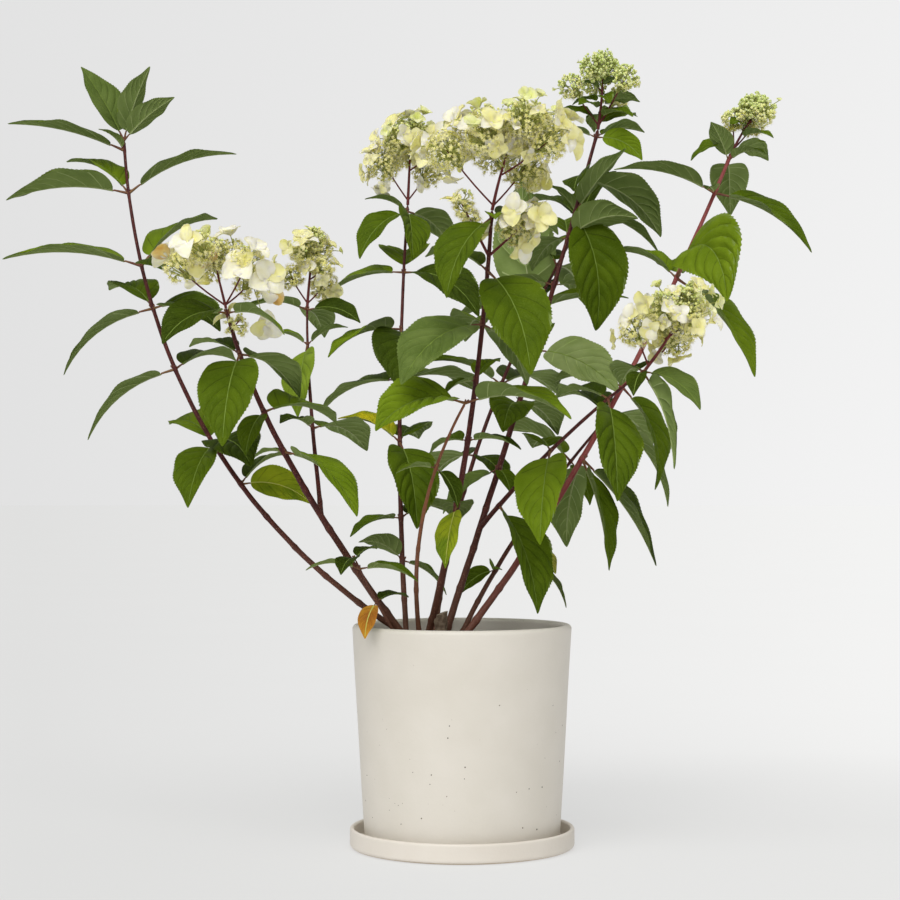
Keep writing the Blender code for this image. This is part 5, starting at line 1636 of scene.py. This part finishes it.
@dataclass
class Pot(Pottery):
    """The pot: straight walls that open a little, a soft rolled rim, and specks of iron in its glaze."""

    node: str = "pot"
    glaze: Finish = POT_GLAZE
    stands_at: float = SAUCER_FLOOR
    wobble: float = 0.00022
    specks: int = 120
    speck_size: float = 0.0008

    def profile(self) -> Array:
        """The wall's outline from the inner lip over the rim, down the outside, under and up the inside."""
        bottom, lip, edge = SAUCER_FLOOR + GAP, WALL / 2, self.edge
        inner_foot, floor = FOOT_RADIUS - WALL, bottom + POT_FLOOR
        return np.vstack([
            arc((RIM_RADIUS - lip, POT_TOP - lip), lip, 180, 0, 17),
            run((RIM_RADIUS, POT_TOP - lip), (FOOT_RADIUS, bottom + edge), 60),
            arc((FOOT_RADIUS - edge, bottom + edge), edge, 0, -90, 9),
            run((FOOT_RADIUS - edge, bottom), (DRAIN_RADIUS, bottom), 8),
            [(DRAIN_RADIUS, bottom), (DRAIN_RADIUS, floor)],
            run((DRAIN_RADIUS, floor), (inner_foot, floor), 8),
            arc((inner_foot - edge, floor + edge), edge, -90, 0, 5),
            run((inner_foot, floor + edge), (RIM_RADIUS - WALL, POT_TOP - lip), 40),
        ])

    def build_specks(self) -> None:
        """Builds the flat dark specks, spread by chance over the outside."""
        rng = np.random.default_rng(SPECK_SEED)
        angle = rng.uniform(0, 2 * pi, self.specks)
        height = rng.uniform(0.03, POT_TOP - 0.012, self.specks)
        share = (height - SAUCER_FLOOR) / (POT_TOP - SAUCER_FLOOR)
        radius = FOOT_RADIUS + (RIM_RADIUS - FOOT_RADIUS) * share + hand(angle, height, self.wobble)
        sizes = self.speck_size * rng.uniform(0.35, 1.0, self.specks) ** 1.5 * 1.4
        surface = Surface("pot_specks", (SPECK,))
        surface.scatter(ball((1, 1, 0.22)), polar(angle, radius, height), polar(angle), angle, sizes)
        surface.piece("pot_glaze")


@dataclass
class Saucer(Pottery):
    """The saucer: a flat floor inside a thin upright rim, with a rounded foot."""

    node: str = "saucer"
    glaze: Finish = SAUCER_GLAZE
    stands_at: float = 0.0
    wobble: float = 0.00018

    def profile(self) -> Array:
        """The outline from the middle of the floor over the rim to the middle of the underside."""
        lip, edge = SAUCER_WALL / 2, self.edge
        foot_ring = SAUCER_RADIUS - 2 * edge
        cove = SAUCER_RADIUS - SAUCER_WALL - edge
        return np.vstack([
            [(0.0, SAUCER_FLOOR)], run((0.0, SAUCER_FLOOR), (cove, SAUCER_FLOOR), 14),
            arc((cove, SAUCER_FLOOR + edge), edge, -90, 0, 7),
            arc((SAUCER_RADIUS - lip, SAUCER_HEIGHT - lip), lip, 180, 0, 13),
            run((SAUCER_RADIUS, SAUCER_HEIGHT - lip), (SAUCER_RADIUS, 1.25 * edge), 6),
            arc((SAUCER_RADIUS - edge, 1.25 * edge), edge, 0, -90, 9),
            [(foot_ring, 0.0)], run((foot_ring, 0.0), (0.0, 0.0), 6), [(0.0, 0.0)],
        ])


@dataclass
class Soil:
    """The soil: an uneven top of damp peat with crumbs, chips of bark and a few pale grains."""

    steps: int = 120
    rings: int = 46
    crumbs: int = 1100
    crumb_sizes: tuple[float, float] = (0.0008, 0.0030)
    mixture: tuple[float, ...] = (0.74, 0.22, 0.04)
    unevenness: float = 0.0022

    def heave(self, points: Array, reach: float) -> Array:
        """Height of the uneven top over the level at each point: three waves, none at the wall."""
        x, y = points[:, 0], points[:, 1]
        waves = np.sin(90 * x + 40 * y) + np.sin(150 * y - 60 * x + 2) + 0.7 * np.sin(310 * x + 260 * y)
        return self.unevenness * 0.5 * waves * np.clip(1 - np.hypot(x, y) / reach, 0, 0.2) * 5

    def build(self) -> None:
        """Builds the soil, its top raised by sums of waves that die out at the wall, and the crumbs on it."""
        floor = SAUCER_FLOOR + POT_FLOOR + 2 * GAP
        slope = (RIM_RADIUS - FOOT_RADIUS) / (POT_TOP - SAUCER_FLOOR)
        low = FOOT_RADIUS - WALL - 2 * GAP
        high = low + slope * (SOIL_TOP - floor) - GAP
        top = np.stack([np.linspace(0, high, self.rings), np.full(self.rings, SOIL_TOP)], axis=1)
        profile = np.vstack([top, run((high, SOIL_TOP), (low, floor), 3), [(low, floor), (0.0, floor)]])
        points, faces, _ = turned(profile, self.steps, False)
        upper = points[:, 2] > SOIL_TOP - 1e-6
        points[upper, 2] += self.heave(points[upper], high)
        surface = Surface("soil_body", (Earth.PEAT.value,))
        surface.add(points, faces)
        surface.piece("soil", "soil")
        rng = np.random.default_rng(CRUMB_SEED)
        reach = high * np.sqrt(rng.uniform(0, 0.93, self.crumbs))
        angle = rng.uniform(0, 2 * pi, self.crumbs)
        places = polar(angle, reach, SOIL_TOP)
        places[:, 2] += self.heave(places, high)
        axes = unit(rng.normal(0, 0.5, (self.crumbs, 3)) + (0, 0, 1))
        kind = rng.choice(3, (self.crumbs, 1), p=self.mixture)
        large = np.where(kind[:, 0] == Earth.CHIP.number, 1.5, 1.0)
        sizes = rng.uniform(*self.crumb_sizes, self.crumbs) * large
        surface = Surface("soil_crumbs", Earth.finishes())
        surface.scatter(ball((1.0, 0.7, 0.5)), places, axes, angle * 7, sizes, kind)
        surface.piece("soil")


# The studio

@dataclass
class Studio:
    """A plain pale floor, soft light from the front above, and the camera of the photograph.

    Floor and backdrop grow lighter from left to right, over a span to each side as a share of the distance,
    the floor more so far behind the plant.
    """

    eye: Colour = (-0.0144, -2.53, 0.424)
    tilt: float = atan(41 / 2111)
    lens: float = 84.44
    floor_reach: float = 60.0
    low: tuple[Colour, Colour] = ((226, 226, 226), (243, 243, 243))
    high: tuple[Colour, Colour] = ((227, 227, 227), (239, 239, 239))
    span: float = 0.2
    ambient: float = 0.50
    sun: float = 2.1
    sun_from: Colour = (-0.26, -0.85, 0.90)
    sun_softness: float = 54.0
    floor_glow: float = 0.49

    def floor_material(self) -> bpy.types.Material:
        """The floor's finish: one grey that glows by 0.49 + r (0.06 + 0.09 f).

        The share r runs from left to right as x / (y + 2.53), no less than 2.1 below the line, and f runs
        with |y + 0.35| from 0 at the plant to 1 far behind it or before it.
        """
        material = bpy.data.materials.new("studio_floor")
        nodes = Nodes(material)
        x, y, _ = nodes.parts(nodes.place)
        reach = nodes.math("MAXIMUM", nodes.math("ADD", y, -self.eye[1]), 2.1)
        right = nodes.fade(nodes.math("DIVIDE", x, reach), -self.span, self.span)
        far = nodes.fade(nodes.math("ABSOLUTE", nodes.math("ADD", y, 0.35)), 0.5, 1.25, 0.06, 0.15)
        nodes.feed("Principled BSDF", {
            "Base Color": nodes.ramp(nodes.noise(0.5), (0.3, (140, 140, 139)), (0.7, (141, 141, 140))),
            "Roughness": 0.9, "Specular IOR Level": 0.0, "Emission Color": (1.0, 1.0, 0.995, 1.0),
            "Emission Strength": nodes.math("ADD", nodes.math("MULTIPLY", right, far), self.floor_glow)})
        return material

    def build_floor(self) -> None:
        """Lays the floor under the saucer."""
        mesh = bpy.data.meshes.new("floor")
        far = self.floor_reach
        mesh.from_pydata([(-far, -far, 0), (far, -far, 0), (far, far, 0), (-far, far, 0)], [], [(0, 1, 2, 3)])
        mesh.materials.append(self.floor_material())
        shown("floor", mesh)

    def build_light(self) -> None:
        """Sets the sky, even light on the plant and a backdrop where the camera sees it, and a soft sun.

        The backdrop's tone runs from left to right and from the horizon upwards.
        """
        world = bpy.data.worlds.new("studio")
        bpy.context.scene.world = world
        nodes = Nodes(world, "Generated")
        x, _, z = nodes.parts(nodes.place)
        right, up = nodes.fade(x, -self.span, self.span), nodes.fade(z, 0.0, 0.22)
        seen = nodes.add("Background", {"Color": nodes.mix(up, *(nodes.mix(right, *tones)
                                                                 for tones in (self.low, self.high)))})
        even = nodes.feed("Background", {"Color": (1.0, 1.0, 1.0, 1.0), "Strength": self.ambient})
        direct = nodes.add("LightPath").outputs["Is Camera Ray"]
        sky = nodes.add("MixShader", {0: direct, 1: even.outputs[0], 2: seen.outputs[0]})
        nodes.feed("World Output", {"Surface": sky.outputs[0]})
        light = bpy.data.lights.new("soft_key", "SUN")
        light.energy, light.angle = self.sun, radians(self.sun_softness)
        lamp = shown("soft_key", light)
        lamp.rotation_euler = Vector(self.sun_from).to_track_quat("Z", "Y").to_euler()

    def build_camera(self) -> None:
        """Stands the camera where the photograph was taken from."""
        scene = bpy.context.scene
        data = bpy.data.cameras.new("camera")
        data.lens = self.lens
        scene.camera = shown("camera", data)
        scene.camera.location = self.eye
        scene.camera.rotation_euler = (pi / 2 + self.tilt, 0.0, 0.0)
        scene.view_settings.view_transform = "Standard"


STEM_SKINS = {"brown": Skin.TAN, "far_right": Skin.YOUNG}


def main() -> None:
    """Builds the studio, the pot, then each stem with its leaves and flowers."""
    logging.basicConfig(level=logging.INFO, format="%(message)s")
    studio = Studio()
    studio.build_floor()
    studio.build_light()
    studio.build_camera()
    pot, saucer = Pot(), Saucer()
    pot.build(pot.profile(), closed=True)
    pot.build_specks()
    saucer.build(saucer.profile(), closed=False)
    Soil().build()
    CutStub().build()
    growth = Growth()
    growth.grow_heads()
    growth.grow_leaves()
    for number, stem in enumerate(STEMS):
        rng = np.random.default_rng(SEED * 100 + number)
        Wood(stem, STEM_SKINS.get(stem.name, Skin.BARK)).build()
        foliage = Foliage(stem, growth.leaves[stem.name])
        foliage.build_blades(rng)
        foliage.build_stalks()
        if stem.head:
            Inflorescence(stem, growth.heads[stem.name], growth.sprigs.get(stem.name, [])).build(rng)


if __name__ == "__main__":
    main()
